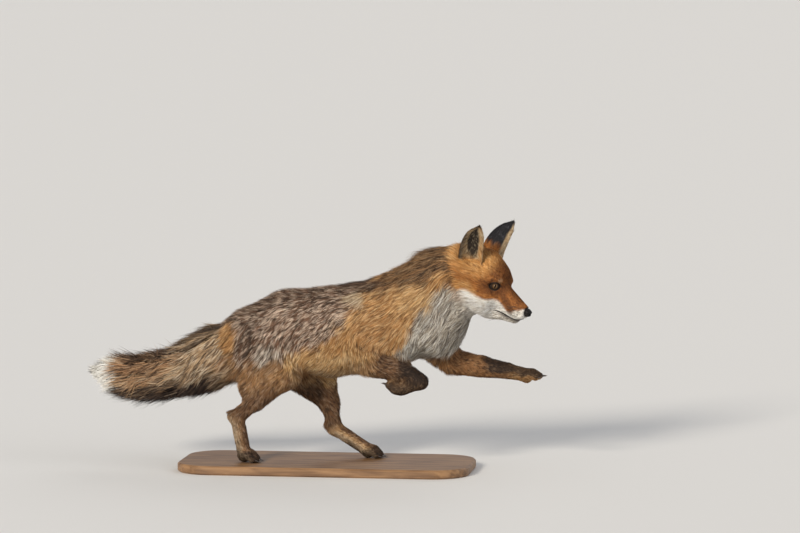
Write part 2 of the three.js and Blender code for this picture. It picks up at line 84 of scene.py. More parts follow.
camera_data = bpy.data.cameras.new("camera")
camera_data.lens = VIEW["lens"]
camera_data.sensor_width = 36.0
camera_data.clip_end = 1000.0
back = direction(VIEW["azimuth"], VIEW["elevation"])
camera = put_in_scene("camera", camera_data, AIM + back * VIEW["distance"], AIM)
bpy.context.scene.camera = camera
print("camera at", [round(v, 3) for v in camera.location])

# %% Floor, lamps and sky
LAMPS = {  # azimuth, elevation, softness in degrees, strength, colour
    "sun_lamp": (-22, 23, 14, 3.1, (1.0, 0.93, 0.82)),
    "front_lamp": (70, 24, 40, 0.6, (0.96, 0.97, 1.0)),
    "back_lamp": (165, 35, 40, 0.45, (1.0, 0.98, 0.95)),
}
for name, (azimuth, elevation, softness, strength, colour) in LAMPS.items():
    lamp = bpy.data.lights.new(name, "SUN")
    lamp.angle = math.radians(softness)
    lamp.energy = strength
    lamp.color = colour
    put_in_scene(name, lamp, direction(azimuth, elevation) * 4.0, (0.0, 0.0, 0.0))

world = bpy.data.worlds.new("soft_sky")
world.use_nodes = True
sky = world.node_tree.nodes["Background"]
sky.inputs["Color"].default_value = (0.93, 0.95, 1.0, 1.0)
sky.inputs["Strength"].default_value = 0.42
bpy.context.scene.world = world
bpy.context.scene.view_settings.view_transform = "Standard"

FLOOR_SIDE = 600.0
floor_bm = bmesh.new()
bmesh.ops.create_grid(floor_bm, x_segments=1, y_segments=1, size=FLOOR_SIDE / 2)
floor_mesh = bpy.data.meshes.new("floor")
floor_bm.to_mesh(floor_mesh)
floor_bm.free()
floor = bpy.data.objects.new("floor", floor_mesh)
bpy.context.scene.collection.objects.link(floor)
paper = bpy.data.materials.new("pale_floor")
paper.use_nodes = True
paper.node_tree.nodes["Principled BSDF"].inputs["Base Color"].default_value = (0.74, 0.73, 0.71, 1)
paper.node_tree.nodes["Principled BSDF"].inputs["Roughness"].default_value = 0.9
floor_mesh.materials.append(paper)
print("lamps:", len(LAMPS))

# %% [markdown]
# ## Landmarks
# Hair, colour and lids all need to know where they are on the animal. The middles of the solids'
# boxes give the landmarks, and the two eyes and the nose give the head a frame of its own: x to the
# nose, y to the fox's left ear, z up through the crown.

# %% Landmarks


def centre(*names):
    """The middle of some nodes' boxes, all weighing the same."""
    return np.mean([np.mean([tuple(c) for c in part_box(n)], axis=0) for n in names], axis=0)


def unit(v):
    """Rows of v made one long."""
    return v / np.maximum(np.linalg.norm(v, axis=-1, keepdims=True), 1e-12)


def smooth_step(low, high, x):
    """0 below low, 1 above high, with a soft S between them. Low may be above high."""
    t = np.clip((x - low) / (high - low), 0, 1)
    return t * t * (3 - 2 * t)


EYES = {side: centre("eye_" + side) for side in ("right", "left")}
NOSE = centre("nose")
EYES_TO_NOSE_DROP = math.radians(20.96)  # how far the nose lies below the head's x axis
between_eyes = (EYES["right"] + EYES["left"]) / 2
to_left = unit(EYES["left"] - EYES["right"])
to_nose = unit(NOSE - between_eyes)
to_top = np.cross(to_nose, to_left)
HEAD_AXES = np.array([
    math.cos(EYES_TO_NOSE_DROP) * to_nose + math.sin(EYES_TO_NOSE_DROP) * to_top,
    to_left,
    -math.sin(EYES_TO_NOSE_DROP) * to_nose + math.cos(EYES_TO_NOSE_DROP) * to_top,
])
HEAD_ORIGIN = between_eyes + HEAD_AXES.T @ np.array([2.0, 0.0, -1.0]) * MM


def in_head(points):
    """Places in the head's own frame, in millimetres."""
    return (points - HEAD_ORIGIN) @ HEAD_AXES.T / MM


def from_head(points):
    """Places given in the head's own frame, in millimetres, as places in the scene."""
    return HEAD_ORIGIN + np.asarray(points, float) @ HEAD_AXES * MM


CLAWS = {
    (foot, side): centre(*[f"claw_{foot}_{side}_{i}" for i in (1, 2, 3, 4)])
    for foot in ("forepaw", "hind_foot") for side in ("right", "left")
}
print("nose in the head's frame:", np.round(in_head(NOSE), 1))

# %% [markdown]
# ## The skin
# A taxidermist's form is smaller than the furred animal, and so is this skin. The parted solids are
# swollen by a hair's breadth until they overlap, melted into one body by a voxel remesh, smoothed,
# and then drawn inwards by the coat's depth: next to nothing on the nose and paws, two and a half
# centimetres in the brush. The ears are too thin for the voxels, so they are subdivided and smoothed
# on their own.

# %% Which solids are flesh
NOT_FLESH = ("eye_", "claw_", "nose", "stand_")
flesh = [n for n in nodes if not n.startswith(NOT_FLESH)]
ear_names = [n for n in flesh if n.startswith("ear_")]
body_names = [n for n in flesh if n not in ear_names]
print("flesh:", len(flesh))


def mesh_object(name, mesh):
    """Links a new object at the origin."""
    obj = bpy.data.objects.new(name, mesh)
    bpy.context.scene.collection.objects.link(obj)
    return obj


def welded_copy(name, swell=0.0):
    """A node's loose triangles joined into one surface, each point moved out by swell."""
    bm = bmesh.new()
    bm.from_mesh(nodes[name].data)
    bmesh.ops.remove_doubles(bm, verts=bm.verts, dist=1e-6)
    bm.normal_update()
    for v in bm.verts:
        v.co += v.normal * swell
    mesh = bpy.data.meshes.new("copy_of_" + name)
    bm.to_mesh(mesh)
    bm.free()
    return mesh


def applied(obj):
    """The object's mesh with its modifiers applied. The object itself goes."""
    graph = bpy.context.evaluated_depsgraph_get()
    mesh = bpy.data.meshes.new_from_object(obj.evaluated_get(graph))
    bpy.data.objects.remove(obj)
    return mesh


# %% One body from many solids
SWELL = 0.5 * MM
VOXEL = 2.9 * MM
joined = bmesh.new()
for name in body_names:
    joined.from_mesh(welded_copy(name, SWELL))
EAR_ROOT = np.array([-57.0, 46.0, 17.0])  # the bowl under each ear is half filled, in the head's frame
PLUG_SIZE = (0.019, 0.016, 0.018)
for side in (-1, 1):
    place = Vector(from_head(EAR_ROOT * (1, side, 1)))
    turn = Matrix(HEAD_AXES.tolist()).transposed().to_4x4()
    size = Matrix.Diagonal((*PLUG_SIZE, 1.0))
    plug = Matrix.Translation(place) @ turn @ size
    bmesh.ops.create_icosphere(joined, subdivisions=3, radius=1.0, matrix=plug)
joined_mesh = bpy.data.meshes.new("joined")
joined.to_mesh(joined_mesh)
joined.free()
body = mesh_object("body", joined_mesh)
remesh = body.modifiers.new("melt", "REMESH")
remesh.mode = "VOXEL"
remesh.voxel_size = VOXEL
body_mesh = applied(body)


def biggest_shell(mesh):
    """Deletes every loose piece of a mesh but the largest."""
    bm = bmesh.new()
    bm.from_mesh(mesh)
    bm.verts.ensure_lookup_table()
    label = [-1] * len(bm.verts)
    sizes = []
    for start in bm.verts:
        if label[start.index] >= 0:
            continue
        stack = [start]
        label[start.index] = len(sizes)
        count = 0
        while stack:
            v = stack.pop()
            count += 1
            for e in v.link_edges:
                w = e.other_vert(v)
                if label[w.index] < 0:
                    label[w.index] = len(sizes)
                    stack.append(w)
        sizes.append(count)
    keep = int(np.argmax(sizes))
    bmesh.ops.delete(bm, geom=[v for v in bm.verts if label[v.index] != keep], context="VERTS")
    bm.to_mesh(mesh)
    bm.free()
    return len(sizes)


print("shells:", biggest_shell(body_mesh), "points:", len(body_mesh.vertices))

# %% Numbers from meshes


def read(collection, field, width, number=float):
    """A mesh's own list as an array."""
    values = np.empty(len(collection) * width, dtype=np.float32 if number is float else np.int32)
    collection.foreach_get(field, values)
    values = values.astype(number)
    return values.reshape(-1, width) if width > 1 else values


def triangles(mesh):
    """The corners of a mesh's triangles, as rows of three point numbers."""
    mesh.calc_loop_triangles()
    return read(mesh.loop_triangles, "vertices", 3, int)


class Surface:
    """Points and triangles, with the neighbour averages that smoothing and blending need."""

    def __init__(self, mesh):
        self.points = read(mesh.vertices, "co", 3)
        self.edges = read(mesh.edges, "vertices", 2, int)
        self.faces = triangles(mesh)
        ends = np.concatenate([self.edges[:, 0], self.edges[:, 1]])
        self.ends, self.others = ends, np.concatenate([self.edges[:, 1], self.edges[:, 0]])
        self.valence = np.maximum(np.bincount(ends, minlength=len(self.points)), 1)

    def spread(self, values, rounds, share=1.0):
        """Averages a value over each point's neighbours, again and again."""
        values = values.copy() if values.ndim > 1 else values[:, None].copy()
        flat = values.shape[1] == 1
        for _ in range(rounds):
            mean = np.stack([
                np.bincount(self.ends, weights=column[self.others], minlength=len(self.points))
                for column in values.T
            ], axis=1) / self.valence[:, None]
            values += (mean - values) * share
        return values[:, 0] if flat else values

    def normals(self):
        """The points' normals, each face weighing its area."""
        a, b, c = (self.points[self.faces[:, i]] for i in range(3))
        across = np.cross(b - a, c - a)
        total = np.zeros_like(self.points)
        for axis in range(3):
            for corner in range(3):
                total[:, axis] += np.bincount(
                    self.faces[:, corner], weights=across[:, axis], minlength=len(self.points))
        return unit(total)

    def smoothed(self, rounds, shares=(0.5, -0.52)):
        """Smooths the shape in pairs of steps, in and back out, so that it doesn't shrink."""
        for _ in range(rounds):
            for share in shares:
                self.points = self.spread(self.points, 1, share)


skin = Surface(body_mesh)
skin.smoothed(18)

# %% Ear roots, throat and crown
EAR_FOOT = (57, 49, 38)  # how far behind, beside and above the head's middle, in millimetres
THROAT = (-48, 0, -62)
CROWN, CROWN_SIZE = (-36, 0, 42), (36, 38, 40)
THROAT_SWELL, CROWN_SWELL = 7, 8  # millimetres


def near_ear_roots(points, near, far):
    """1 close to either ear's root, 0 beyond far, in millimetres."""
    local = in_head(points)
    back, aside, up = EAR_FOOT
    gaps = [np.linalg.norm(local - (-back, aside * side, up), axis=1) for side in (-1, 1)]
    return smooth_step(far, near, np.min(gaps, axis=0))


calm = near_ear_roots(skin.points, 24, 36)[:, None]
for _ in range(30):
    skin.points += (skin.spread(skin.points, 1) - skin.points) * calm * 0.6


def near_throat(points):
    """1 under the jaw's angle, 0 well away from it."""
    return smooth_step(80, 45, np.linalg.norm(in_head(points) - THROAT, axis=1))


# the flesh is full under the throat, where the hair lies flat, and hair stands up between the ears
skin.points += skin.normals() * near_throat(skin.points)[:, None] * THROAT_SWELL * MM
crown = np.linalg.norm((in_head(skin.points) - CROWN) / CROWN_SIZE, axis=1)
skin.points += smooth_step(1.0, 0.15, crown)[:, None] * HEAD_AXES[2] * CROWN_SWELL * MM
print("skin triangles:", len(skin.faces))

# %% Which part each point belongs to
part_points, part_faces, part_of_face = [], [], []
for number, name in enumerate(body_names):
    mesh = nodes[name].data
    start = sum(len(p) for p in part_points)
    faces = triangles(mesh)
    part_points.append(read(mesh.vertices, "co", 3))
    part_faces.append(faces + start)
    part_of_face += [number] * len(faces)
solids = BVHTree.FromPolygons(np.vstack(part_points).tolist(), np.vstack(part_faces).tolist())
part = np.array([part_of_face[solids.find_nearest(p)[2]] for p in skin.points.tolist()])
print({n: int((part == i).sum()) for i, n in enumerate(body_names)})

# %% [markdown]
# ## The coat's measures
# Each part of the body has its own coat: how deep it stands, how long and how wide its tufts are, how
# much they cling together and how shaggy they look. On the head the measures change from the nose,
# where the hair is a few millimetres long, to the ruff of the cheeks. Spreading the numbers over the
# surface hides where one part ends and the next begins.

# %% Measures for each part
COAT = {  # depth, length, width in mm, share of clumping, how shaggy
    "neck": (17, 31, 1.2, 0.42, 1.2),
    "chest": (16, 27, 1.6, 0.40, 0.5),
    "loin": (15, 23, 1.55, 0.36, 0.3),
    "rump": (16, 24, 1.6, 0.38, 0.4),
    "tail_root": (22, 36, 1.7, 0.42, 0.9),
    "tail_brush": (27, 44, 1.7, 0.45, 1.1),
    "tail_tip": (17, 38, 1.9, 0.45, 1.0),
    "upper_arm": (10, 20, 1.6, 0.32, 0.3),
    "forearm": (4.5, 11, 1.3, 0.24, 0.2),
    "forepaw": (1.6, 6.5, 1.1, 0.15, 0.1),
    "thigh": (12, 23, 1.7, 0.38, 0.4),
    "shank": (5.5, 13, 1.4, 0.26, 0.2),
    "hind_foot": (1.8, 7.5, 1.1, 0.15, 0.1),
    "head": (4, 10, 1.0, 0.15, 0.2),
    "lower_jaw": (2.0, 7, 1.0, 0.15, 0.2),
}


def kind(name):
    """A part's name without its side."""
    return name.replace("_right", "").replace("_left", "")


measures = np.array([COAT[kind(n)] for n in body_names])[part]
head_parts = [body_names.index(n) for n in ("head", "lower_jaw")]
on_head = np.isin(part, head_parts)
h = in_head(skin.points)
to_ruff = smooth_step(35, -75, h[:, 0] + 0.35 * h[:, 2])
face_depth = 1.0 + 9.0 * to_ruff ** 1.6
face_length = 4.5 + 21.0 * to_ruff ** 1.5
face_width = 0.8 + 0.8 * to_ruff
for column, values in enumerate((face_depth, face_length, face_width)):
    measures[on_head, column] = values[on_head]
eye_gap = np.min([np.linalg.norm(h - in_head(e), axis=1) for e in EYES.values()], axis=0)
nose_gap = np.linalg.norm(h - in_head(NOSE), axis=1)
near_bare = np.minimum(smooth_step(8, 22, eye_gap), smooth_step(8, 20, nose_gap))
measures = skin.spread(measures, 45)
depth, length, width, clump, shag = measures.T
depth = skin.spread(depth * (0.25 + 0.75 * near_bare), 4) * MM
length = length * (0.45 + 0.55 * near_bare) * MM
width = width * (0.75 + 0.25 * near_bare) * MM
print("depth mm:", round(depth.min() / MM, 2), round(depth.max() / MM, 2))

# %% Draw the skin in
STEPS = 8
outer = skin.points.copy()
for _ in range(STEPS):
    skin.points = skin.points - skin.normals() * (depth / STEPS)[:, None]
    skin.points = skin.spread(skin.points, 1, 0.25)
skin_normals = skin.normals()
furred_outline = BVHTree.FromPolygons(outer.tolist(), skin.faces.tolist())
print("mean step in, mm:", round(float(np.linalg.norm(skin.points - outer, axis=1).mean()) / MM, 2))

# %% [markdown]
# ## The lie of the coat
# Hair runs from the nose back over the face and neck, along the body and out to the tip of the tail,
# and down each leg to the toes. Each part is given one way to point, or one place to point at.
# Averaging over neighbours turns the hair smoothly from one part to the next, as the partings of a
# real coat do.

# %% The way each part's hair points


def box_run(name, drop):
    """Forwards and down along a slanting part, from its box."""
    low, high = (np.array(c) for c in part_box(name))
    return np.array([high[0] - low[0], 0, (low[2] - high[2]) * drop])


FLOW = {  # from, to, and how strongly the hair also hangs on the flanks
    "neck": ("head", "chest", 0.70),
    "chest": ("neck", "loin", 0.75),
    "loin": ("chest", "rump", 1.05),
    "rump": ("loin", "tail_root", 1.00),
    "tail_root": ("rump", "tail_brush", 0.55),
    "tail_brush": ("tail_root", "tail_tip", 0.50),
    "tail_tip": ("tail_brush", "tail_tip", 0.15),
}


def lie_of(name, points):
    """The way the hair of one part points, before it is laid on the skin."""
    whole = kind(name)
    side = name.rsplit("_", 1)[-1]
    if whole in ("head", "lower_jaw"):
        return unit(points - NOSE) + HEAD_AXES[2] * -0.12
    if whole in ("forepaw", "hind_foot"):
        return unit(CLAWS[whole, side] - points)
    if whole in FLOW:
        start, end, hang = FLOW[whole]
        way = unit(centre(end) - centre(start)) + np.array([0, 0, -hang])
    elif whole == "upper_arm":
        way = centre("forearm_" + side) - centre(name) + np.array([0, 0, -0.05])
    elif whole == "forearm":
        way = box_run(name, 0.5)
    elif whole == "thigh":
        way = centre("shank_" + side) - centre(name) + np.array([-0.02, 0, 0])
    else:
        way = centre("hind_foot_" + side) - centre(name)
    return np.tile(unit(way), (len(points), 1))


def laid(way, normals):
    """A way made to run along the skin."""
    return unit(way - normals * np.sum(way * normals, axis=1, keepdims=True))


lie = np.zeros_like(skin.points)
for number, name in enumerate(body_names):
    mine = part == number
    lie[mine] = lie_of(name, skin.points[mine])
for _ in range(8):
    lie = laid(skin.spread(lie, 6), skin_normals)
print("lie of the coat on the back:", np.round(lie[np.argmax(skin.points[:, 2] * (part == 2))], 2))

# %% [markdown]
# ## The ears
# An ear is a cupped leaf of gristle three millimetres thick. Its solid is subdivided until it is round,
# and every point learns where it is on the leaf: `up` from root to tip, `over` from the middle to
# either edge, and `inside` for the hollow face. Colour and hair are told apart by those three.

# %% Two ear skins


def leaf_axes(points, side):
    """An ear's three directions: up to the tip, across towards the face, and out of the hollow."""
    _, _, (up, across, out) = np.linalg.svd(points - points.mean(0), full_matrices=False)
    up = up * np.sign(up[2])
    across = across * np.sign(across @ HEAD_AXES[0])
    out = out * np.sign(out @ HEAD_AXES[1]) * (1 if side == "left" else -1)
    return up, across, out


class Ear(Surface):
    """An ear's surface with each point's place on the leaf."""

    def __init__(self, name):
        obj = mesh_object("ear_form", welded_copy(name))
        rounding = obj.modifiers.new("rounding", "SUBSURF")
        rounding.levels = rounding.render_levels = 2
        super().__init__(applied(obj))
        self.smoothed(3)
        self.up_axis, self.across_axis, self.out_axis = leaf_axes(self.points, name.split("_")[1])
        rise = self.points @ self.up_axis
        self.up = (rise - rise.min()) / (rise.max() - rise.min())
        across = self.points @ self.across_axis
        band = np.minimum((self.up * 24).astype(int), 23)
        low = np.array([across[band == b].min() for b in range(24)])[band]
        high = np.array([across[band == b].max() for b in range(24)])[band]
        self.over = 2 * (across - low) / np.maximum(high - low, 1e-6) - 1
        self.inside = smooth_step(-0.1, 0.25, self.normals() @ self.out_axis)


ears = {name: Ear(name) for name in ear_names}
print({name: len(ear.faces) for name, ear in ears.items()})

# %% [markdown]
# ## Markings
# A fox's colour is made of three kinds of hair that grow side by side: the common one, a paler one and
# a darker one. A palette holds the three and how many of each there are. Grizzled hair is a nearly even
# mix, a black stocking has hardly any pale ones. Skin and tufts read the same palettes, so the
# markings meet wherever the coat parts.

# %% Palettes
PALETTES = {  # common hair, pale hair, dark hair (linear colour), share of pale, share of dark
    "gold": ((0.43, 0.215, 0.077), (0.78, 0.51, 0.25), (0.12, 0.053, 0.021), 0.27, 0.20),
    # on the lower flank, pale_gold is painted light that lifts the shade there
    "pale_gold": ((0.55, 0.33, 0.14), (0.86, 0.62, 0.35), (0.20, 0.105, 0.045), 0.30, 0.13),
    "rufous": ((0.30, 0.104, 0.022), (0.45, 0.195, 0.058), (0.12, 0.040, 0.012), 0.22, 0.20),
    "cheek": ((0.50, 0.235, 0.070), (0.66, 0.38, 0.15), (0.22, 0.090, 0.028), 0.28, 0.14),
    "face_brown": ((0.155, 0.051, 0.013), (0.25, 0.10, 0.028), (0.052, 0.020, 0.008), 0.15, 0.32),
    "grizzled": ((0.18, 0.088, 0.050), (0.74, 0.58, 0.45), (0.040, 0.021, 0.014), 0.36, 0.38),
    "mane": ((0.27, 0.14, 0.060), (0.44, 0.29, 0.16), (0.040, 0.024, 0.017), 0.20, 0.44),
    "withers": ((0.11, 0.062, 0.040), (0.33, 0.24, 0.17), (0.026, 0.017, 0.013), 0.16, 0.50),
    "cream": ((0.44, 0.32, 0.19), (0.66, 0.54, 0.38), (0.12, 0.08, 0.05), 0.36, 0.16),
    "white": ((0.84, 0.79, 0.71), (0.95, 0.92, 0.87), (0.36, 0.30, 0.24), 0.42, 0.10),
    "bib": ((0.42, 0.36, 0.28), (0.88, 0.83, 0.74), (0.070, 0.050, 0.038), 0.36, 0.36),
    "black": ((0.030, 0.021, 0.016), (0.10, 0.065, 0.045), (0.012, 0.009, 0.008), 0.12, 0.40),
    "ear_black": ((0.019, 0.018, 0.021), (0.060, 0.058, 0.066), (0.009, 0.009, 0.011), 0.12, 0.40),
    "brush": ((0.42, 0.27, 0.145), (0.72, 0.59, 0.43), (0.080, 0.047, 0.030), 0.38, 0.22),
    "brush_red": ((0.35, 0.185, 0.090), (0.54, 0.35, 0.20), (0.080, 0.044, 0.028), 0.26, 0.30),
    # brush_dark: dark hair of the ridge; on the underside it also stands for painted shade
    "brush_dark": ((0.045, 0.028, 0.022), (0.16, 0.11, 0.08), (0.016, 0.011, 0.010), 0.14, 0.44),
    "tip": ((0.80, 0.78, 0.73), (0.90, 0.89, 0.85), (0.52, 0.48, 0.42), 0.40, 0.10),
    "leg_brown": ((0.17, 0.085, 0.040), (0.33, 0.21, 0.13), (0.045, 0.026, 0.017), 0.20, 0.32),
    "leg_rufous": ((0.26, 0.120, 0.047), (0.40, 0.22, 0.10), (0.075, 0.037, 0.020), 0.22, 0.26),
    "shin": ((0.33, 0.225, 0.135), (0.50, 0.40, 0.28), (0.12, 0.075, 0.045), 0.26, 0.22),
    "thigh": ((0.30, 0.155, 0.065), (0.46, 0.30, 0.17), (0.10, 0.050, 0.026), 0.24, 0.26),
    # belly: pale underside hair, lightened further as painted light for the shade under the body
    "belly": ((0.36, 0.24, 0.13), (0.60, 0.47, 0.32), (0.085, 0.056, 0.038), 0.30, 0.28),
    "ear_lining": ((0.42, 0.27, 0.135), (0.66, 0.53, 0.35), (0.13, 0.085, 0.055), 0.34, 0.16),
    # painted shade for the deep bowl of the ear
    "ear_hollow": ((0.040, 0.028, 0.022), (0.34, 0.28, 0.19), (0.014, 0.011, 0.010), 0.12, 0.45),
}
PALETTES = {k: np.array([*a, *b, *c, pale, dark]) for k, (a, b, c, pale, dark) in PALETTES.items()}
print("palettes:", len(PALETTES))

# %% Tools for painting


def paint(values, palette, mask):
    """Lays one palette over another where the mask is 1."""
    values += (PALETTES[palette] - values) * np.clip(mask, 0, 1)[:, None]


def ripple(points, size, seed, waves=16):
    """A soft random field, mostly within -1 to 1, with lumps about `size` mm across."""
    random = np.random.default_rng(seed)
    ways = unit(random.normal(size=(waves, 3))) * random.uniform(0.6, 1.5, (waves, 1))
    swings = points / MM @ (ways * 2 * math.pi / (2 * size)).T + random.uniform(0, 2 * math.pi, waves)
    return np.sin(swings).sum(axis=1) / math.sqrt(waves / 2)


def plain_mean(values):
    """The colour a patch of coat has from far off: its three hairs mixed."""
    pale, dark = values[:, 9:10], values[:, 10:11]
    return values[:, 0:3] * (1 - pale - dark) + values[:, 3:6] * pale + values[:, 6:9] * dark


# %% Where each marking lies
WEIGHT = {}
for part_kind in sorted({kind(n) for n in body_names}):
    numbers = [i for i, n in enumerate(body_names) if kind(n) == part_kind]
    WEIGHT[part_kind] = skin.spread(np.isin(part, numbers).astype(float), 14)

print("kinds of part:", len(WEIGHT))

# %% Edges of the markings
LIP_LINE = (
    (10, 24, -48), (22, 20.5, -47.5), (34, 17, -48.5), (47, 13.5, -51.5),
    (58, 10.5, -50), (66, 7, -47), (70, 3, -45.5), (71, 0, -45),
)
WHISKER_ROWS = (  # height, and the places along it
    (-24, (50, 55, 60)),
    (-30, (45, 50, 55, 60, 65)),
    (-36, (43, 48, 53, 58, 63)),
    (-41.5, (45, 50, 55, 60)),
)
GRIZZLE_EDGE = ((195, 215, 268, 325, 350, 410), (-100, -66, 40, 68, 82, 100))  # heights, places along
BIB_EDGE = ((222, 258, 288, 318, 372), (150, 176, 196, 232, 262))
WHITE_EDGE = (
    (-84, -46, -37, -30, -10, 3, 12, 20, 28, 50, 62, 72, 80),
    (-44, -24, -22, -29, -27, -27, -28.5, -33, -38, -37, -31, -20, -12),
)
print("whisker spots on each side:", sum(len(row) for _, row in WHISKER_ROWS))

# %% Markings of the body


def blob(a, b, width, height, softness=0.35):
    """1 inside an ellipse, fading out around its edge."""
    return smooth_step(1 + softness, 1 - softness, np.hypot(a / width, b / height))


def markings(points, normals, weight):
    """The palettes of the body and head, laid over each other from the flank outwards."""
    x, y, z = (points / MM).T
    top = normals[:, 2]
    wander = 9 * ripple(points, 26, 1) + 4 * ripple(points, 9, 2)
    values = np.tile(PALETTES["gold"], (len(points), 1))
    trunk = weight["chest"] + weight["loin"] + weight["rump"] + weight["neck"]
    paint(values, "thigh", smooth_step(182, 162, z + 0.5 * wander) * smooth_step(60, 20, x) * 0.55)
    grizzle = smooth_step(18, -18, x - np.interp(z, *GRIZZLE_EDGE) + wander)
    paint(values, "grizzled", grizzle)
    paint(values, "withers", smooth_step(-70, -120, x + wander) * smooth_step(220, 250, z) * 0.4)
    spine = smooth_step(0.45, 0.85, top) * smooth_step(120, 80, x) * smooth_step(-160, -130, x)
    paint(values, "withers", spine * 0.45)
    # the lower flank turns partly downwards; painting it pale_gold is painted light that lifts the
    # shade it gets
    flank = smooth_step(246, 226, z) * smooth_step(-60, -30, x + wander) * smooth_step(140, 100, x)
    paint(values, "pale_gold", flank * 0.85)
    paint(values, "thigh", smooth_step(200, 168, z + wander + 0.25 * x) * smooth_step(10, -50, x))
    # the down-facing trunk takes the pale belly hair; its palette is also lightened, as painted light
    # for the shade under the body
    paint(values, "belly", smooth_step(-0.60, -0.92, top) * trunk * smooth_step(240, 150, x) * 0.85)
    # the dark saddle over the shoulders, the pale patch below it, and the mane
    paint(values, "cream", blob(x - 82 + wander, z - 352, 26, 17) * 0.8)
    paint(values, "withers", blob(x - 96 + wander, z - 382, 46, 17) * 0.95)
    mane_height = np.interp(x, (110, 150, 180, 240, 300, 340), (372, 366, 372, 392, 424, 446))
    mane = smooth_step(-16, 12, z - mane_height + 1.2 * wander) * smooth_step(115, 150, x)
    paint(values, "mane", mane * smooth_step(0.7, 0.3, weight["head"]))
    paint(values, "bib", blob(x + 86, z - 228, 26, 26) * 0.5)
    paint(values, "pale_gold", blob(x - 213, z - 348, 46, 28) * 0.7)
    paint(values, "thigh", blob(x - 127, z - 285, 42, 44) * 0.32)
    # bib
    bib = smooth_step(-14, 14, x - np.interp(z, *BIB_EDGE) + wander)
    bib *= smooth_step(210, 226, z) * smooth_step(392, 368, z + 0.3 * wander)
    paint(values, "bib", bib * np.clip(weight["neck"] + weight["chest"] + weight["head"], 0, 1))
    paint(values, "white", blob(x - 262, z - 320, 28, 32) * 0.2)
    paint_head(values, points, weight["head"] + weight["lower_jaw"], wander)
    paint_brush(values, points, normals, weight, wander)
    paint_legs(values, points, normals, weight, wander)
    return values


# %% Markings of the brush


def paint_brush(values, points, normals, weight, wander):
    """The tail: a golden patch at the root, tan sides, a dark ridge, an underside painted near-black as
    dark hair and painted shade, white tip.
    """
    x, y, z = (points / MM).T
    top = normals[:, 2]
    tail = weight["tail_root"] + weight["tail_brush"] + weight["tail_tip"]
    brush = smooth_step(-165, -200, x + wander) * (tail > 0.3)
    paint(values, "brush", brush)
    at_root = smooth_step(0.85, 0.45, top) * (weight["tail_root"] + weight["rump"] > 0.2)
    paint(values, "gold", blob(x + 177, z - 263, 21, 40) * at_root)
    red = smooth_step(-275, -320, x + wander) * smooth_step(-0.35, 0.35, top)
    paint(values, "brush_red", red * brush)
    ridge = smooth_step(0.50, 0.85, top + 0.10 * ripple(points, 22, 5))
    paint(values, "brush_dark", ridge * brush * 0.85)
    # the underside of the brush is painted near-black: dark hair there, and painted shade under the
    # tail
    fringe_and_shade = smooth_step(-0.12, -0.46, top + 0.09 * ripple(points, 14, 6))
    paint(values, "brush_dark", fringe_and_shade * smooth_step(-185, -225, x) * (tail > 0.3))
    paint(values, "tip", smooth_step(-420, -434, x + 0.4 * wander) * (tail > 0.5))


# %% Markings of the face


def paint_head(values, points, on_head, wander):
    """The face: rufous crown, dark lids and tear stripe, white lips, cheeks and throat."""
    x, y, z = in_head(points).T
    aside = np.abs(y)
    small = 0.25 * wander
    high = smooth_step(-60, -44, z)
    paint(values, "rufous", on_head * smooth_step(-95, -60, x + wander) * high)
    cheek = smooth_step(-12, -46, x + wander) * smooth_step(8, -12, z + wander)
    paint(values, "cheek", on_head * cheek * high)
    paint(values, "cheek", on_head * blob(x + 42, z - 38, 36, 20))
    paint(values, "cheek", on_head * smooth_step(30, 46, aside) * smooth_step(0, 16, z) * 0.6)
    paint(values, "face_brown", on_head * blob(x - 3, z - 1, 23, 15, 0.45) * (aside > 8))
    stripe = np.abs(z - np.interp(x, (8, 13, 29, 42, 52), (-2, -4, -18, -30, -33)))
    stripe = smooth_step(11, 4, stripe) * smooth_step(4, 12, x) * smooth_step(56, 46, x)
    paint(values, "face_brown", on_head * stripe * 0.9)
    paint(values, "face_brown", on_head * smooth_step(12, 24, z) * smooth_step(-24, 0, x) * 0.80)
    bridge = smooth_step(16, 6, aside) * smooth_step(0, 12, x) * smooth_step(67, 56, x)
    paint(values, "face_brown", on_head * bridge * 0.95)
    paint(values, "face_brown", on_head * blob(x - 17, z + 5, 8, 6) * (aside > 8))
    paint(values, "cream", on_head * blob(x - 9.5, z - 15.5, 3.4, 4.6) * (aside > 9) * 0.38)
    edge = np.interp(x, *WHITE_EDGE)
    paint(values, "white", on_head * smooth_step(3.0, -3.0, z - edge + small))
    for row, places in WHISKER_ROWS:
        for place in places:
            paint(values, "black", on_head * smooth_step(2.3, 0.9, np.hypot(x - place, z - row)) * 0.62)
    lip = np.interp(x, [p[0] for p in LIP_LINE], [p[2] for p in LIP_LINE])
    below_lip = smooth_step(3.6, 1.6, np.abs(z - lip + 2.2)) * smooth_step(14, 30, x)
    paint(values, "black", on_head * below_lip * 0.8)
    chin = smooth_step(-50, -58, z) * smooth_step(-10, 20, x)
    paint(values, "bib", on_head * chin * 0.6)
    by_nose = np.linalg.norm(in_head(points) - in_head(NOSE), axis=1)
    paint(values, "black", on_head * smooth_step(14.5, 10.5, by_nose) * (z > -24))


# %% Markings of the legs


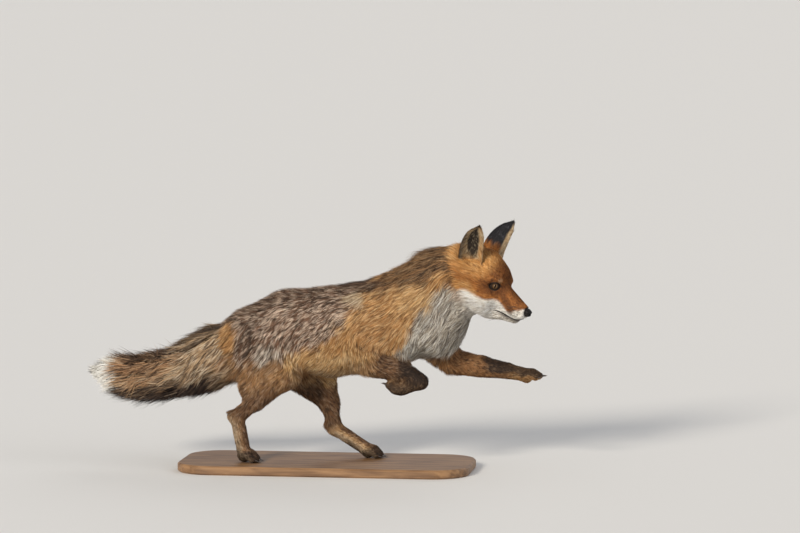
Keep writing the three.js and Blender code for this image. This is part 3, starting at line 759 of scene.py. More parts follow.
def paint_legs(values, points, normals, weight, wander):
    """Brown forearms, black stockings, tan shins."""
    x, y, z = (points / MM).T
    front = normals @ np.array([0.8, 0, 0.45])
    paint(values, "leg_brown", weight["forearm"] + 0.6 * weight["upper_arm"] * smooth_step(236, 216, z))
    paint(values, "leg_rufous", (weight["forearm"] + 0.7 * weight["upper_arm"]) * (y > 10))
    low, high = np.where(y > 10, 318, 168), np.where(y > 10, 352, 204)
    stocking = weight["forepaw"] + weight["forearm"] * smooth_step(low, high, x + wander)
    top_side = np.where(y > 10, smooth_step(-0.55, 0.1, normals[:, 2]), 1.0)
    paint(values, "black", stocking * (0.22 + 0.66 * top_side))
    paint(values, "thigh", weight["thigh"] * smooth_step(226, 200, z + wander))
    paint(values, "leg_brown", weight["shank"] * smooth_step(190, 150, z + wander))
    paint(values, "shin", weight["hind_foot"] * smooth_step(-0.4, 0.3, -front))
    paint(values, "leg_brown", weight["hind_foot"] * smooth_step(0.0, 0.5, front))
    paint(values, "black", weight["hind_foot"] * smooth_step(52, 34, z + 0.4 * wander) * 0.75)


# %% Paint the skin
seen = outer + lie * (0.55 * length)[:, None]  # colour shows at the tips, some way on from the roots
skin_palettes = markings(seen, skin_normals, WEIGHT)
print("mean skin colour:", np.round(plain_mean(skin_palettes).mean(0), 3))

# %% Ear markings


def ear_markings(ear):
    """Black back with a rufous root, pale lining around a hollow painted dark as its shade, cream front
    edge.
    """
    values = np.tile(PALETTES["ear_black"], (len(ear.points), 1))
    wander = 0.018 * ripple(ear.points, 9, 7)
    paint(values, "rufous", smooth_step(0.50, 0.38, ear.up + wander))
    front_edge = smooth_step(0.60, 0.78, ear.over + wander) * smooth_step(0.99, 0.90, ear.up)
    paint(values, "ear_lining", front_edge)
    paint(values, "ear_lining", ear.inside)
    paint(values, "cheek", ear.inside * smooth_step(0.30, 0.10, ear.up + wander))
    front_foot = smooth_step(0.40, 0.85, ear.over + wander) * smooth_step(0.75, 0.35, ear.up)
    paint(values, "cheek", ear.inside * front_foot * 0.7)
    # the deep bowl of the ear is painted near-black, as painted shade in the hollow
    hollow = blob(ear.over + 0.10 + 0.9 * (ear.up - 0.6) * 0.3, ear.up - 0.58, 0.58, 0.34, 0.22)
    paint(values, "ear_hollow", ear.inside * np.clip(hollow, 0, 1))
    back_edge = smooth_step(-0.86, -0.97, ear.over)
    paint(values, "black", ear.inside * np.maximum(back_edge, smooth_step(0.93, 0.985, ear.up)) * 0.8)
    return values


# %% [markdown]
# ## Eyes and lids
# Each eye is a ball nearly ten millimetres in radius with a bulging cornea, set so that its front lies
# level with the fur above and below it. The lids are drawn as almond loops around the line of sight:
# the first are tucked against the ball, the next make the thick black rim, and the last slip under the
# skin.

# %% Eyeballs
BALL = 9.8
GAZE = (0.55, 0.83, 0.10)
EYE_FRONT = 10.4  # how far the ball's front lies from the middle of its solid


def eye_frame(side):
    """An eye's middle and its three directions: sight, towards the nose, and up."""
    y = 1 if side == "left" else -1
    sight = unit(np.array([GAZE[0], GAZE[1] * y, GAZE[2]]) @ HEAD_AXES)
    to_front = unit(HEAD_AXES[0] - sight * (HEAD_AXES[0] @ sight))
    upwards = np.cross(sight, to_front) * y
    return EYES[side] + sight * (EYE_FRONT - BALL) * MM, np.array([to_front, upwards, sight])


def place_in_eye(side, local):
    """Points given in millimetres in an eye's own frame, as places in the scene."""
    middle, axes = eye_frame(side)
    return middle + np.asarray(local, float) @ axes * MM


def ring_faces(rings, steps, closed_start, flip=False):
    """Triangles between rings of points. The first ring may be a single point's fan."""
    faces = []
    for r in range(rings - 1):
        for k in range(steps):
            a, b = r * steps + k, r * steps + (k + 1) % steps
            faces += [(a, b, b + steps), (a, b + steps, a + steps)]
    faces = np.array(faces)
    if closed_start:
        faces = np.vstack([faces, [(0, k + 1, k) for k in range(1, steps - 1)]])
    return faces[:, ::-1] if flip else faces


def give_colour(mesh, colours):
    """Stores a colour for each point, for the materials to read."""
    layer = mesh.attributes.new("coat_colour", "FLOAT_COLOR", "POINT")
    with_alpha = np.ones((len(colours), 4), dtype=np.float32)
    with_alpha[:, :3] = np.clip(colours, 0, 1)
    layer.data.foreach_set("color", with_alpha.ravel())


IRIS, PUPIL = 6.5, (1.5, 4.3)
RING_RADII = np.concatenate([np.linspace(0.05, 6.6, 34), np.linspace(6.9, 9.4, 8)])


def eyeball(side):
    """A ball seen from the front, its iris and upright pupil painted on its points."""
    steps = 72
    around = np.arange(steps) * 2 * math.pi / steps
    t = RING_RADII[:, None] * np.cos(around)
    s = RING_RADII[:, None] * np.sin(around)
    radius = np.repeat(RING_RADII[:, None], steps, axis=1)
    w = np.sqrt(BALL**2 - np.minimum(radius, BALL * 0.995) ** 2)
    w += 0.75 * np.cos(np.minimum(radius / 6.3, 1) * math.pi / 2) ** 1.2
    points = place_in_eye(side, np.stack([t, s, w], axis=-1).reshape(-1, 3))
    back = place_in_eye(side, [[0, 0, -4.0]])
    faces = ring_faces(len(RING_RADII), steps, True)
    last = (len(RING_RADII) - 1) * steps
    cap = [(last + (k + 1) % steps, last + k, len(points)) for k in range(steps)]
    fibre = 0.5 + 0.5 * np.sin(around * 31 + 2.0 * np.sin(around * 7)) * np.sin(around * 13 + 1)
    inner, outer_iris = np.array([0.155, 0.088, 0.038]), np.array([0.062, 0.035, 0.018])
    share = smooth_step(2.2, 5.6, radius)[..., None]
    colour = inner * (1 - share) + outer_iris * share
    colour = colour * (0.72 + 0.5 * fibre)[None, :, None]
    colour = colour * (1 - 0.85 * smooth_step(IRIS - 0.9, IRIS, radius))[..., None]
    white = np.array([0.045, 0.032, 0.026])
    colour += (white - colour) * smooth_step(IRIS, IRIS + 0.7, radius)[..., None]
    slit = np.hypot(t / PUPIL[0], s / PUPIL[1])
    colour *= (0.02 + 0.98 * smooth_step(0.88, 1.12, slit))[..., None]
    mesh = bpy.data.meshes.new("eyeball_" + side)
    mesh.from_pydata(np.vstack([points, back]), [], np.vstack([faces, cap]))
    mesh.shade_smooth()
    give_colour(mesh, np.vstack([colour.reshape(-1, 3), white[None]]))
    obj = mesh_object("eyeball_" + side, mesh)
    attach(obj, "root")
    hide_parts("eye_" + side)
    return obj


eyeballs = [eyeball(side) for side in EYES]
print("eyeball triangles:", [len(ball.data.polygons) for ball in eyeballs])

# %% Lids
LID_STEPS = 64
LID_LOOPS = (  # half width, height above and below, share of skin in the depth, lift
    (9.3, 5.9, 5.0, 0.00, -0.6),
    (9.5, 6.1, 5.2, 0.00, 0.25),
    (10.3, 6.8, 5.8, 0.00, 0.85),
    (11.4, 7.8, 6.7, 0.12, 1.10),
    (12.6, 9.0, 7.8, 0.45, 0.95),
    (13.8, 10.4, 9.0, 0.80, 0.60),
    (15.0, 11.8, 10.3, 1.00, 0.25),
    (16.4, 13.4, 11.9, 1.00, -0.30),
    (17.6, 14.8, 13.2, 1.00, -1.60),
)
skin_tree = BVHTree.FromPolygons(skin.points.tolist(), skin.faces.tolist())


def almond(loop):
    """The points of one lid loop, flat: pointed at both corners and tilted down towards the nose."""
    half, above, below = loop[:3]
    around = np.arange(LID_STEPS) * 2 * math.pi / LID_STEPS
    u, v = np.cos(around), np.sin(around)
    point = np.interp(half, (9.3, 17.6), (1.35, 1.0))
    t = half * u + 0.35
    tilt = 0.20 * half * u * np.interp(half, (9.3, 17.6), (1, 0.3))
    s = np.where(v > 0, above, -below) * np.abs(v) ** point - tilt
    return t, s


def skin_depth(side, t, s):
    """How far out along the line of sight the skin lies at some places around an eye."""
    middle, axes = eye_frame(side)
    depths = []
    for a, b in zip(t, s):
        start = place_in_eye(side, [[a, b, 45]])[0]
        hit = skin_tree.ray_cast(start.tolist(), (-axes[2]).tolist(), 0.09)[3]
        depths.append(45 - hit / MM if hit is not None else np.nan)
    depths = np.array(depths)
    good = ~np.isnan(depths)
    return np.interp(np.arange(len(depths)), np.flatnonzero(good), depths[good])


class Lids(Surface):
    """Both lids of one eye, each point knowing how far it is from rim to brow."""

    def __init__(self, side):
        far_t, far_s = almond(LID_LOOPS[6])
        far = skin_depth(side, far_t, far_s)
        points, reach = [], []
        for k, loop in enumerate(LID_LOOPS):
            t, s = almond(loop)
            ball = np.sqrt(np.maximum(BALL**2 - t**2 - s**2, 4.0))
            skin_here = skin_depth(side, t, s) if k >= 6 else far
            w = ball * (1 - loop[3]) + skin_here * loop[3] + loop[4]
            points.append(place_in_eye(side, np.stack([t, s, w], axis=1)))
            reach.append(np.full(LID_STEPS, k / (len(LID_LOOPS) - 1)))
        mesh = bpy.data.meshes.new("lids")
        faces = ring_faces(len(LID_LOOPS), LID_STEPS, False, side == "right")
        mesh.from_pydata(np.vstack(points), [], faces)
        obj = mesh_object("lids", mesh)
        rounding = obj.modifiers.new("rounding", "SUBSURF")
        rounding.levels = rounding.render_levels = 1
        layer = mesh.attributes.new("reach", "FLOAT", "POINT")
        layer.data.foreach_set("value", np.concatenate(reach).astype(np.float32))
        rounded = applied(obj)
        super().__init__(rounded)
        self.side = side
        self.reach = read(rounded.attributes["reach"].data, "value", 1)


lids = {side: Lids(side) for side in EYES}
for side in EYES:
    middle, axes = eye_frame(side)
    t, s, w = ((skin.points - middle) @ axes.T / MM).T
    under = blob(t - 0.35, s + 0.03 * t, 13.6, 9.8, 0.10) * (w > -4) * (w < 20)
    skin.points -= axes[2] * (under * np.maximum(w + 2, 0) * MM)[:, None]
print({side: len(lid.faces) for side, lid in lids.items()})


def lid_markings(lid):
    """The skin's own markings, with a black rim laid over the edge of the lids."""
    nearest = [skin_tree.find_nearest(p)[2] for p in lid.points.tolist()]
    values = skin_palettes[skin.faces[nearest, 0]].copy()
    paint(values, "face_brown", smooth_step(0.72, 0.45, lid.reach) * 0.8)
    paint(values, "black", smooth_step(0.60, 0.46, lid.reach))
    return values


# %% The skin as one object
skin_points, skin_faces, skin_colours = [skin.points], [skin.faces], [plain_mean(skin_palettes)]
more = [(ear, ear_markings(ear)) for ear in ears.values()]
more += [(lid, lid_markings(lid)) for lid in lids.values()]
for surface, palettes in more:
    start = sum(len(p) for p in skin_points)
    skin_points.append(surface.points)
    skin_faces.append(surface.faces + start)
    skin_colours.append(plain_mean(palettes))
UNDERFUR = 0.62  # the woolly hair next to the skin is duller than the tips
skin_mesh = bpy.data.meshes.new("skin")
skin_mesh.from_pydata(np.vstack(skin_points), [], np.vstack(skin_faces))
skin_mesh.shade_smooth()
give_colour(skin_mesh, np.vstack(skin_colours) * UNDERFUR)
skin_object = mesh_object("skin", skin_mesh)
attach(skin_object, "root")
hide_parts(*flesh)
print("skin:", len(skin_mesh.polygons), "triangles")

# %% [markdown]
# ## Tufts
# One hair is far too fine to model by the million, so a tuft stands for a few dozen that cling
# together. A long tuft is a slim closed spindle that leaves the skin steeply and bends over where it
# is widest. A short one is a closed three-sided spike. Neighbours lean towards a shared middle, which
# draws the coat into locks. The tufts of one piece are computed together as arrays, since the same
# shape is wanted tens of thousands of times, each with its own place, lean and colour.

# %% Scattering roots


class Patch:
    """Part of a surface on which tufts grow: its faces, and everything its points know."""

    def __init__(self, surface, faces, fields):
        self.points, self.faces, self.fields = surface.points, faces, fields
        corners = [surface.points[faces[:, i]] for i in range(3)]
        across = np.cross(corners[1] - corners[0], corners[2] - corners[0])
        self.areas = np.linalg.norm(across, axis=1) / 2
        self.unwrapped = self.unwrap()

    def unwrap(self):
        """A flat layout of these faces, as three UV corners for each."""
        used, renumbered = np.unique(self.faces, return_inverse=True)
        mesh = bpy.data.meshes.new("layout")
        mesh.from_pydata(self.points[used], [], renumbered.reshape(-1, 3))
        obj = mesh_object("layout", mesh)
        bpy.context.view_layer.objects.active = obj
        obj.select_set(True)
        bpy.ops.object.mode_set(mode="EDIT")
        bpy.ops.mesh.select_all(action="SELECT")
        bpy.ops.uv.smart_project(angle_limit=math.radians(66), island_margin=0.004)
        bpy.ops.object.mode_set(mode="OBJECT")
        corners = read(mesh.uv_layers.active.uv, "vector", 2).reshape(-1, 3, 2)
        bpy.data.objects.remove(obj)
        return corners

    def scatter(self, count, random):
        """Roots spread by need, a few on each face, with every field read off at each root."""
        f = self.fields
        need = 1 / (f["length"] * f["width"])
        wanted = self.areas * (need * f["thickness"])[self.faces].mean(axis=1)
        wanted *= count / wanted.sum()
        numbers = (wanted + random.random(len(wanted))).astype(int)
        face = np.repeat(np.arange(len(wanted)), numbers)
        a, b = random.random((2, len(face)))
        over = a + b > 1
        a[over], b[over] = 1 - a[over], 1 - b[over]
        shares = np.stack([1 - a - b, a, b], axis=1)

        def at_roots(values):
            picked = values[self.faces[face]]
            return np.einsum("nk,nk...->n...", shares, picked)

        roots = {name: at_roots(values) for name, values in f.items()}
        roots["point"] = at_roots(self.points)
        roots["uv"] = np.einsum("nk,nkc->nc", shares, self.unwrapped[face])
        return roots


# %% Locks and leans


def gather_into_locks(points, spacing, random):
    """For each root, the place of the lock it belongs to, and the lock's number."""
    count = max(8, int(len(points) / spacing))
    chosen = random.choice(len(points), count, replace=False)
    tree = KDTree(count)
    for i, index in enumerate(chosen):
        tree.insert(points[index], i)
    tree.balance()
    lock = np.array([tree.find(p)[1] for p in points.tolist()])
    return points[chosen][lock], lock


def room_for(starts, ways, overshoot):
    """The share of each tuft that fits inside the furred outline, give or take an overshoot."""
    reach = np.linalg.norm(ways, axis=1)
    rays = zip(starts.tolist(), ways.tolist(), reach.tolist())
    hits = [furred_outline.ray_cast(start, way, r)[3] for start, way, r in rays]
    hits = np.array([np.inf if hit is None else hit for hit in hits])
    return np.minimum(1.0, (hits + overshoot) / reach)


GUARD_SHARE = 0.13  # a few long hairs stand clear of the rest
SMALL_LOCK = 5  # tufts that share a streak of colour


def tuft_shapes(roots, spacing, random, lean=0.16):
    """Where each tuft starts, bends and ends, and the way across it."""
    n, count = unit(roots["normal"]), len(roots["point"])
    way = laid(roots["lie"], n)
    aside = np.cross(n, way)
    p = roots["point"]
    swirl = lean * (ripple(p, 34, 11) + 0.7 * ripple(p, 13, 12)) + random.normal(0, 0.10, count)
    way = unit(way + aside * swirl[:, None])
    guard = (random.random(count) < GUARD_SHARE) * roots["shag"]
    length = roots["length"] * random.uniform(0.72, 1.12, count) * (1 + 0.25 * guard)
    rise = np.clip(roots["depth"] / roots["length"], 0.10, 0.80) * random.uniform(0.75, 1.10, count)
    tip = p + length[:, None] * (way * np.sqrt(1 - rise**2)[:, None] + n * rise[:, None])
    steep = np.clip(rise * 1.7, 0, 0.95)
    bend = p + 0.42 * length[:, None] * (way * np.sqrt(1 - steep**2)[:, None] + n * steep[:, None])
    small_place, streak = gather_into_locks(p, SMALL_LOCK, random)
    big_place, lock = gather_into_locks(p, spacing, random)
    for place, share in ((small_place, 0.9), (big_place, 0.8)):
        pull = place - p
        pull -= n * np.sum(pull * n, axis=1, keepdims=True)
        tip += pull * (share * roots["clump"])[:, None]
        bend += pull * (0.3 * share * roots["clump"])[:, None]
    proud = random.uniform(0.03, 0.22, count) + roots["shag"] * (0.12 + 0.45 * guard)
    over = roots["depth"] * proud + roots["free"]
    shorter = np.maximum(room_for(p, tip - p, over), 0.55)[:, None]
    tip, bend = p + (tip - p) * shorter, p + (bend - p) * shorter
    aside = unit(np.cross(n, tip - p))
    return {
        "root": p, "bend": bend, "tip": tip, "normal": n,
        "aside": aside, "lock": lock, "streak": streak, "share": shorter,
    }


# %% Hair colours
STREAK_SHARE = 0.75  # how many tufts take their streak's kind of hair
LOCK_CONTRAST = 0.42


def tuft_colours(roots, lock, streak, random):
    """Each tuft is common, pale or dark. Its streak decides most of that, so that dashes form."""
    values, count = roots["palette"], len(lock)
    streak_chance = random.random(streak.max() + 1)[streak]
    chance = np.where(random.random(count) < STREAK_SHARE, streak_chance, random.random(count))
    pale, dark = values[:, 9], values[:, 10]
    tip = values[:, 0:3].copy()
    is_pale, is_dark = chance < pale, chance > 1 - dark
    tip[is_pale] = values[is_pale, 3:6]
    tip[is_dark] = values[is_dark, 6:9]
    tip *= random.normal(1.0, 0.10, count).clip(0.7, 1.3)[:, None]
    tip *= (1 + LOCK_CONTRAST * (random.random(lock.max() + 1)[lock] - 0.5))[:, None]
    common = plain_mean(values)
    middle = (common * 0.62 + tip) * 0.5
    middle[is_pale] = middle[is_pale] * 0.45 + common[is_pale] * 0.35  # pale hairs are banded
    return common * 0.40, middle, tip


# %% Building one coat piece
UV_PATCH = 0.003  # the side of one tuft's own patch in the bake layout
SPINDLE = np.array([[0, 3, 1], [0, 2, 3], [0, 1, 2], [4, 1, 3], [4, 3, 2], [4, 2, 1]])
SPIKE = np.array([[0, 2, 3], [2, 1, 3], [1, 0, 3], [0, 1, 2]])


def coat_piece(name, roots, spacing, seed, long=True, lean=0.16):
    """Makes one joined mesh of tufts. Long tufts bend, short ones are straight spikes."""
    random = np.random.default_rng(seed)
    shape = tuft_shapes(roots, spacing, random, lean)
    root_colour, bend_colour, tip_colour = tuft_colours(roots, shape["lock"], shape["streak"], random)
    count = len(roots["point"])
    n, aside, root, bend, tip = (shape[k] for k in ("normal", "aside", "root", "bend", "tip"))
    half = (roots["width"] * random.uniform(0.7, 1.2, count) / 2)[:, None] * np.sqrt(shape["share"])
    if long:
        ridge = bend + n * half * 0.7
        corners = [root - n * half, bend + aside * half, bend - aside * half, ridge, tip]
        bearings = [n, n + aside * 0.8, n - aside * 0.8, n, n * 0.8 + unit(tip - bend) * 0.4]
        tints = [root_colour, bend_colour, bend_colour, bend_colour * 1.1, tip_colour * 1.08]
        places = [(0, -0.5), (-0.5, 0), (0.5, 0), (0.05, 0), (0, 0.5)]
        pattern = SPINDLE
    else:
        base = root - n * half * 0.4
        corners = [base + aside * half, base - aside * half, base + n * half * 1.1, tip]
        bearings = [n + aside * 0.7, n - aside * 0.7, n, n]
        tints = [bend_colour * 0.85, bend_colour * 0.85, bend_colour, tip_colour * 1.08]
        places = [(-0.5, -0.5), (0.5, -0.5), (0, -0.35), (0, 0.5)]
        pattern = SPIKE
    step = len(corners)
    points = np.stack(corners, axis=1).reshape(-1, 3)
    faces = (np.arange(count)[:, None, None] * step + pattern).reshape(-1, 3)
    mesh = bpy.data.meshes.new(name)
    mesh.from_pydata(points, [], faces)
    give_colour(mesh, np.stack(tints, axis=1).reshape(-1, 3))
    uv = np.clip(roots["uv"], UV_PATCH, 1 - UV_PATCH)[:, None, :] + np.array(places) * UV_PATCH
    layer = mesh.uv_layers.new(name="OFBake")
    layer.uv.foreach_set("vector", uv.reshape(-1, 2)[faces.ravel()].astype(np.float32).ravel())
    mesh.shade_smooth()
    mesh.normals_split_custom_set_from_vertices(unit(np.stack(bearings, axis=1)).reshape(-1, 3))
    obj = mesh_object(name, mesh)
    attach(obj, "root")
    print(f"{name}: {count} tufts, {len(faces)} triangles")
    return obj


# %% The coat of body, head and legs
GROUPS = {  # parts, tufts, roots to a lock, long or short tufts, slot, lean
    "coat_head": (("head", "lower_jaw"), 48000, 14, False, "coat_russet", 0.10),
    "coat_neck": (("neck",), 32500, 14, True, "coat_russet", 0.20),
    "coat_chest": (("chest",), 32500, 12, True, "coat_russet", 0.18),
    "coat_back": (("loin", "rump"), 32500, 12, True, "coat_grizzled", 0.18),
    "coat_brush": (("tail_root", "tail_brush", "tail_tip"), 32500, 12, True, "coat_brush", 0.20),
    "coat_forelegs": (("upper_arm", "forearm", "forepaw"), 46000, 14, False, "coat_russet", 0.14),
    "coat_hindlegs": (("thigh", "shank", "hind_foot"), 47000, 14, False, "coat_russet", 0.14),
}
throat = near_throat(outer)  # here the hair is finer and lies flatter
clear_of_face = smooth_step(13.0, 16.0, eye_gap) * smooth_step(7, 10, nose_gap)
fields = {
    "normal": skin_normals,
    "lie": lie,
    "depth": depth * (1 - 0.45 * throat),
    "length": length,
    "width": width * (1 - 0.1 * throat),
    "clump": clump,
    "shag": shag,
    "free": (near_ear_roots(outer, 30, 42) * 14 + throat * 12) * MM,
    "thickness": (0.15 + 0.85 * near_bare) * clear_of_face,
    "palette": skin_palettes,
}
part_of_triangle = part[skin.faces[:, 0]]
coats = []
for seed, (name, (kinds, tufts, spacing, long, slot, lean)) in enumerate(GROUPS.items(), start=21):
    numbers = [i for i, n in enumerate(body_names) if kind(n) in kinds]
    patch = Patch(skin, skin.faces[np.isin(part_of_triangle, numbers)], fields)
    roots = patch.scatter(tufts, np.random.default_rng(seed + 100))
    coats.append(coat_piece(name, roots, spacing, seed, long, lean))

# %% The coat of the ears


def ear_fields(ear):
    """Short flat hair on the back, longer pale hair that closes over the hollow from its edges."""
    n = ear.normals()
    edge = smooth_step(0.35, 0.9, np.abs(ear.over)) * ear.inside
    inwards = -np.sign(ear.over)[:, None] * ear.across_axis * edge[:, None]
    return {
        "normal": n,
        "lie": laid(ear.up_axis + inwards * 0.9 + 1e-3, n),
        "depth": (0.8 + 2.2 * edge) * MM,
        "length": (5.5 + 6.5 * edge) * MM,
        "width": (0.9 + 0.3 * edge) * MM,
        "clump": np.full(len(n), 0.15),
        "shag": np.full(len(n), 0.1),
        "free": np.full(len(n), 0.0),
        "thickness": 1.0 - 0.55 * ear.inside * (1 - edge),
        "palette": ear_markings(ear),
    }


for seed, (name, ear) in enumerate(ears.items(), start=51):
    roots = Patch(ear, ear.faces, ear_fields(ear)).scatter(13000, np.random.default_rng(seed + 100))
    coats.append(coat_piece("coat_" + name, roots, 12, seed, False, 0.08))

# %% The coat of the lids


def lid_fields(lid):
    """Very short hair that fans out from the rim and sweeps back."""
    n = lid.normals()
    n *= np.sign(n @ eye_frame(lid.side)[1][2])[:, None]
    away = lid.points - eye_frame(lid.side)[0]
    grown = smooth_step(0.36, 0.9, lid.reach)
    return {
        "normal": n,
        "lie": laid(unit(away) * 0.8 + unit(lid.points - NOSE), n),
        "depth": (0.35 + 0.8 * grown) * MM,
        "length": (1.8 + 2.8 * grown) * MM,
        "width": (0.45 + 0.40 * grown) * MM,
        "clump": np.full(len(n), 0.1),
        "shag": np.full(len(n), 0.1),
        "free": np.full(len(n), 0.0),
        "thickness": smooth_step(0.42, 0.55, lid.reach),
        "palette": lid_markings(lid),
    }


for seed, lid in enumerate(lids.values(), start=61):
    roots = Patch(lid, lid.faces, lid_fields(lid)).scatter(4200, np.random.default_rng(seed + 100))
    coats.append(coat_piece("coat_lids_" + lid.side, roots, 12, seed, False, 0.08))
print("coat triangles:", sum(len(c.data.polygons) for c in coats))

# %% [markdown]
# ## Nose, lips and whiskers
# The nose pad starts as a ball of fine triangles. Pushing its points inwards digs the two nostrils, the
# slits beside them and the groove below. The lips are a thin black roll that follows the mouth line on
# the skin, and the whiskers are long tapered bristles that leave the lip in four rows.

# %% Nose pad
NOSE_SIZE = np.array([9.4, 9.0, 8.8])
NOSE_BLACK = (0.012, 0.010, 0.010)
LIP_BLACK = (0.022, 0.018, 0.017)
WHISKER_BLACK = (0.035, 0.028, 0.024)


def nose_pad():
    """A ball pushed into the shape of a fox's nose, in the head's frame."""
    bm = bmesh.new()
    bmesh.ops.create_icosphere(bm, subdivisions=5, radius=1.0)
    mesh = bpy.data.meshes.new("nose_pad")
    bm.to_mesh(mesh)
    bm.free()
    ball = read(mesh.vertices, "co", 3)
    x, y, z = ball.T
    aside = np.abs(y)
    nostril = np.exp(-(((aside - 0.46) / 0.20) ** 2 + ((z + 0.02) / 0.24) ** 2)) * (x > 0)
    slit = np.exp(-(((z + 0.16 + 0.25 * (aside - 0.6)) / 0.10) ** 2))
    slit *= smooth_step(0.45, 0.65, aside) * (x > -0.35)
    groove = np.exp(-((y / 0.07) ** 2)) * smooth_step(0.15, -0.25, z) * (x > 0)
    crown = smooth_step(0.2, 0.9, z)
    wing = np.exp(-(((aside - 0.75) / 0.25) ** 2 + ((z - 0.15) / 0.45) ** 2)) * (x > -0.2)
    radius = 1 - 0.50 * nostril - 0.22 * slit - 0.13 * groove + 0.06 * wing
    shaped = ball * radius[:, None] * NOSE_SIZE
    shaped[:, 0] = np.minimum(shaped[:, 0], 7.6 + 0.25 * (shaped[:, 0] - 7.6))
    shaped[:, 1] *= 1 - 0.22 * smooth_step(0.0, -1.0, z)
    shaped[:, 0] -= 1.6 * crown + 1.2 * smooth_step(-0.3, -1.0, z)
    mesh.vertices.foreach_set("co", from_head(shaped + in_head(NOSE)).astype(np.float32).ravel())
    # the nostrils are painted darker than the pad, as painted shade deep in the holes
    dark = 1 - 0.85 * np.clip(nostril * 1.3, 0, 1)
    give_colour(mesh, np.array(NOSE_BLACK) * dark[:, None])
    mesh.shade_smooth()
    mesh.update()
    obj = mesh_object("nose_pad", mesh)
    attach(obj, "root")
    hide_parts("nose")
    return obj


nose = nose_pad()
print("nose triangles:", len(nose.data.polygons))

# %% Lips


def tube(path, radii, sides, squash=None):
    """Points and faces of one closed tapering tube along a path."""
    along = unit(np.gradient(path, axis=0))
    guide = squash if squash is not None else np.tile([0.0, 0.0, 1.0], (len(path), 1))
    out = unit(guide - along * np.sum(guide * along, axis=1, keepdims=True))
    side = np.cross(along, out)
    around = np.arange(sides) * 2 * math.pi / sides
    rings = path[:, None] + radii[:, None, None] * (
        out[:, None] * np.cos(around)[:, None] * (0.55 if squash is not None else 1.0)
        + side[:, None] * np.sin(around)[:, None])
    faces = ring_faces(len(path), sides, False)
    last = (len(path) - 1) * sides
    caps = [(0, k, k + 1) for k in range(1, sides - 1)]
    caps += [(last, last + k + 1, last + k) for k in range(1, sides - 1)]
    return rings.reshape(-1, 3), np.vstack([faces, caps])


def lips():
    """One black roll from corner to corner around the front of the jaw."""
    line = np.array(LIP_LINE, float)
    line = np.vstack([line[:-1] * (1, -1, 1), line[::-1]])
    t = np.linspace(0, len(line) - 1, 90)
    line = np.stack([np.interp(t, np.arange(len(line)), c) for c in line.T], axis=1)
    for _ in range(6):
        line[1:-1] = (line[:-2] + 2 * line[1:-1] + line[2:]) / 4
    found = [skin_tree.find_nearest(p) for p in from_head(line).tolist()]
    path = np.array([f[0] for f in found])
    out = np.array([f[1] for f in found])
    for _ in range(4):
        path[1:-1] = (path[:-2] + 2 * path[1:-1] + path[2:]) / 4
    end = np.abs(np.linspace(-1, 1, len(path)))
    radii = (2.3 - 0.4 * smooth_step(0.15, 0.45, end) - 1.3 * smooth_step(0.75, 1.0, end)) * MM
    points, faces = tube(path + out * 0.25 * MM, radii, 8, out)
    mesh = bpy.data.meshes.new("lips")
    mesh.from_pydata(points, [], faces)
    mesh.shade_smooth()
    give_colour(mesh, np.tile(LIP_BLACK, (len(points), 1)))
    obj = mesh_object("lips", mesh)
    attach(obj, "root")
    return obj


lip_roll = lips()
print("lip triangles:", len(lip_roll.data.polygons))

# %% Whiskers


def whiskers():
    """Bristles on both lips and over the eyes, joined into one mesh."""
    random = np.random.default_rng(77)
    all_points, all_faces, total = [], [], 0
    starts = [(x, z, 1.0, (0, 0)) for z, row in WHISKER_ROWS for x in row]
    starts += [(6, 18, 0.30, (0.1, 0.9)), (1, 19, 0.28, (-0.1, 0.9))]
    for side in (-1, 1):
        for x, z, size, lift in starts:
            origin = from_head([x, 60 * side, z]).tolist()
            hit = skin_tree.ray_cast(origin, (-side * HEAD_AXES[1]).tolist(), 0.09)[0]
            if hit is None:
                continue
            length = (62 - 0.55 * (x - 40) + random.uniform(-8, 8)) * size * MM
            back = -0.75 + 0.020 * (x - 42) + random.uniform(-0.12, 0.12)
            rise = (z + 33) * 0.016 - 0.10 + lift[1] + random.uniform(-0.08, 0.08)
            way = unit(np.array([back + lift[0], side * 0.95, rise]))
            way = way @ HEAD_AXES
            t = np.linspace(0, 1, 9)[:, None]
            sag = np.array([0, 0, -0.16]) * length * t**2 + HEAD_AXES[0] * -0.10 * length * t**2
            path = np.array(hit) - way * 1.0 * MM + way * length * t + sag
            radii = (0.19 * (1 - t[:, 0]) + 0.04) * MM * (0.7 + 0.3 * size)
            points, faces = tube(path, radii, 4)
            all_points.append(points)
            all_faces.append(faces + total)
            total += len(points)
    mesh = bpy.data.meshes.new("whiskers")
    mesh.from_pydata(np.vstack(all_points), [], np.vstack(all_faces))
    mesh.shade_smooth()
    give_colour(mesh, np.tile(WHISKER_BLACK, (total, 1)))
    obj = mesh_object("whiskers", mesh)
    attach(obj, "root")
    return obj


bristles = whiskers()
print("whisker triangles:", len(bristles.data.polygons))

# %% [markdown]
# ## Finishes
# Every hair surface reads its colour from its own points, so one fur material serves them all. Eyes
# are wet, the nose is leathery, the claws are horn and the board is oiled oak. Underfur and nose both
# need relief too fine to model, soft in the wool and pebbled on the nose. That is one node group with a
# size and a choice of pattern, and each material sets how strongly its own Bump node uses it.

# %% Making a material


def new_material(name, colour=(0.5, 0.5, 0.5), **sockets):
    """A Principled material with its constants set on the shader's own sockets."""
    made = bpy.data.materials.new(name)
    made.use_nodes = True
    shader = made.node_tree.nodes["Principled BSDF"]
    shader.inputs["Base Color"].default_value = (*colour, 1)
    for socket, value in sockets.items():
        shader.inputs[socket.replace("_", " ")].default_value = value
    return made


def add_node(tree, node_type, **settings):
    """A new node in a material's or a group's tree, with its properties set."""
    node = tree.nodes.new(node_type)
    for setting, value in settings.items():
        setattr(node, setting, value)
    return node


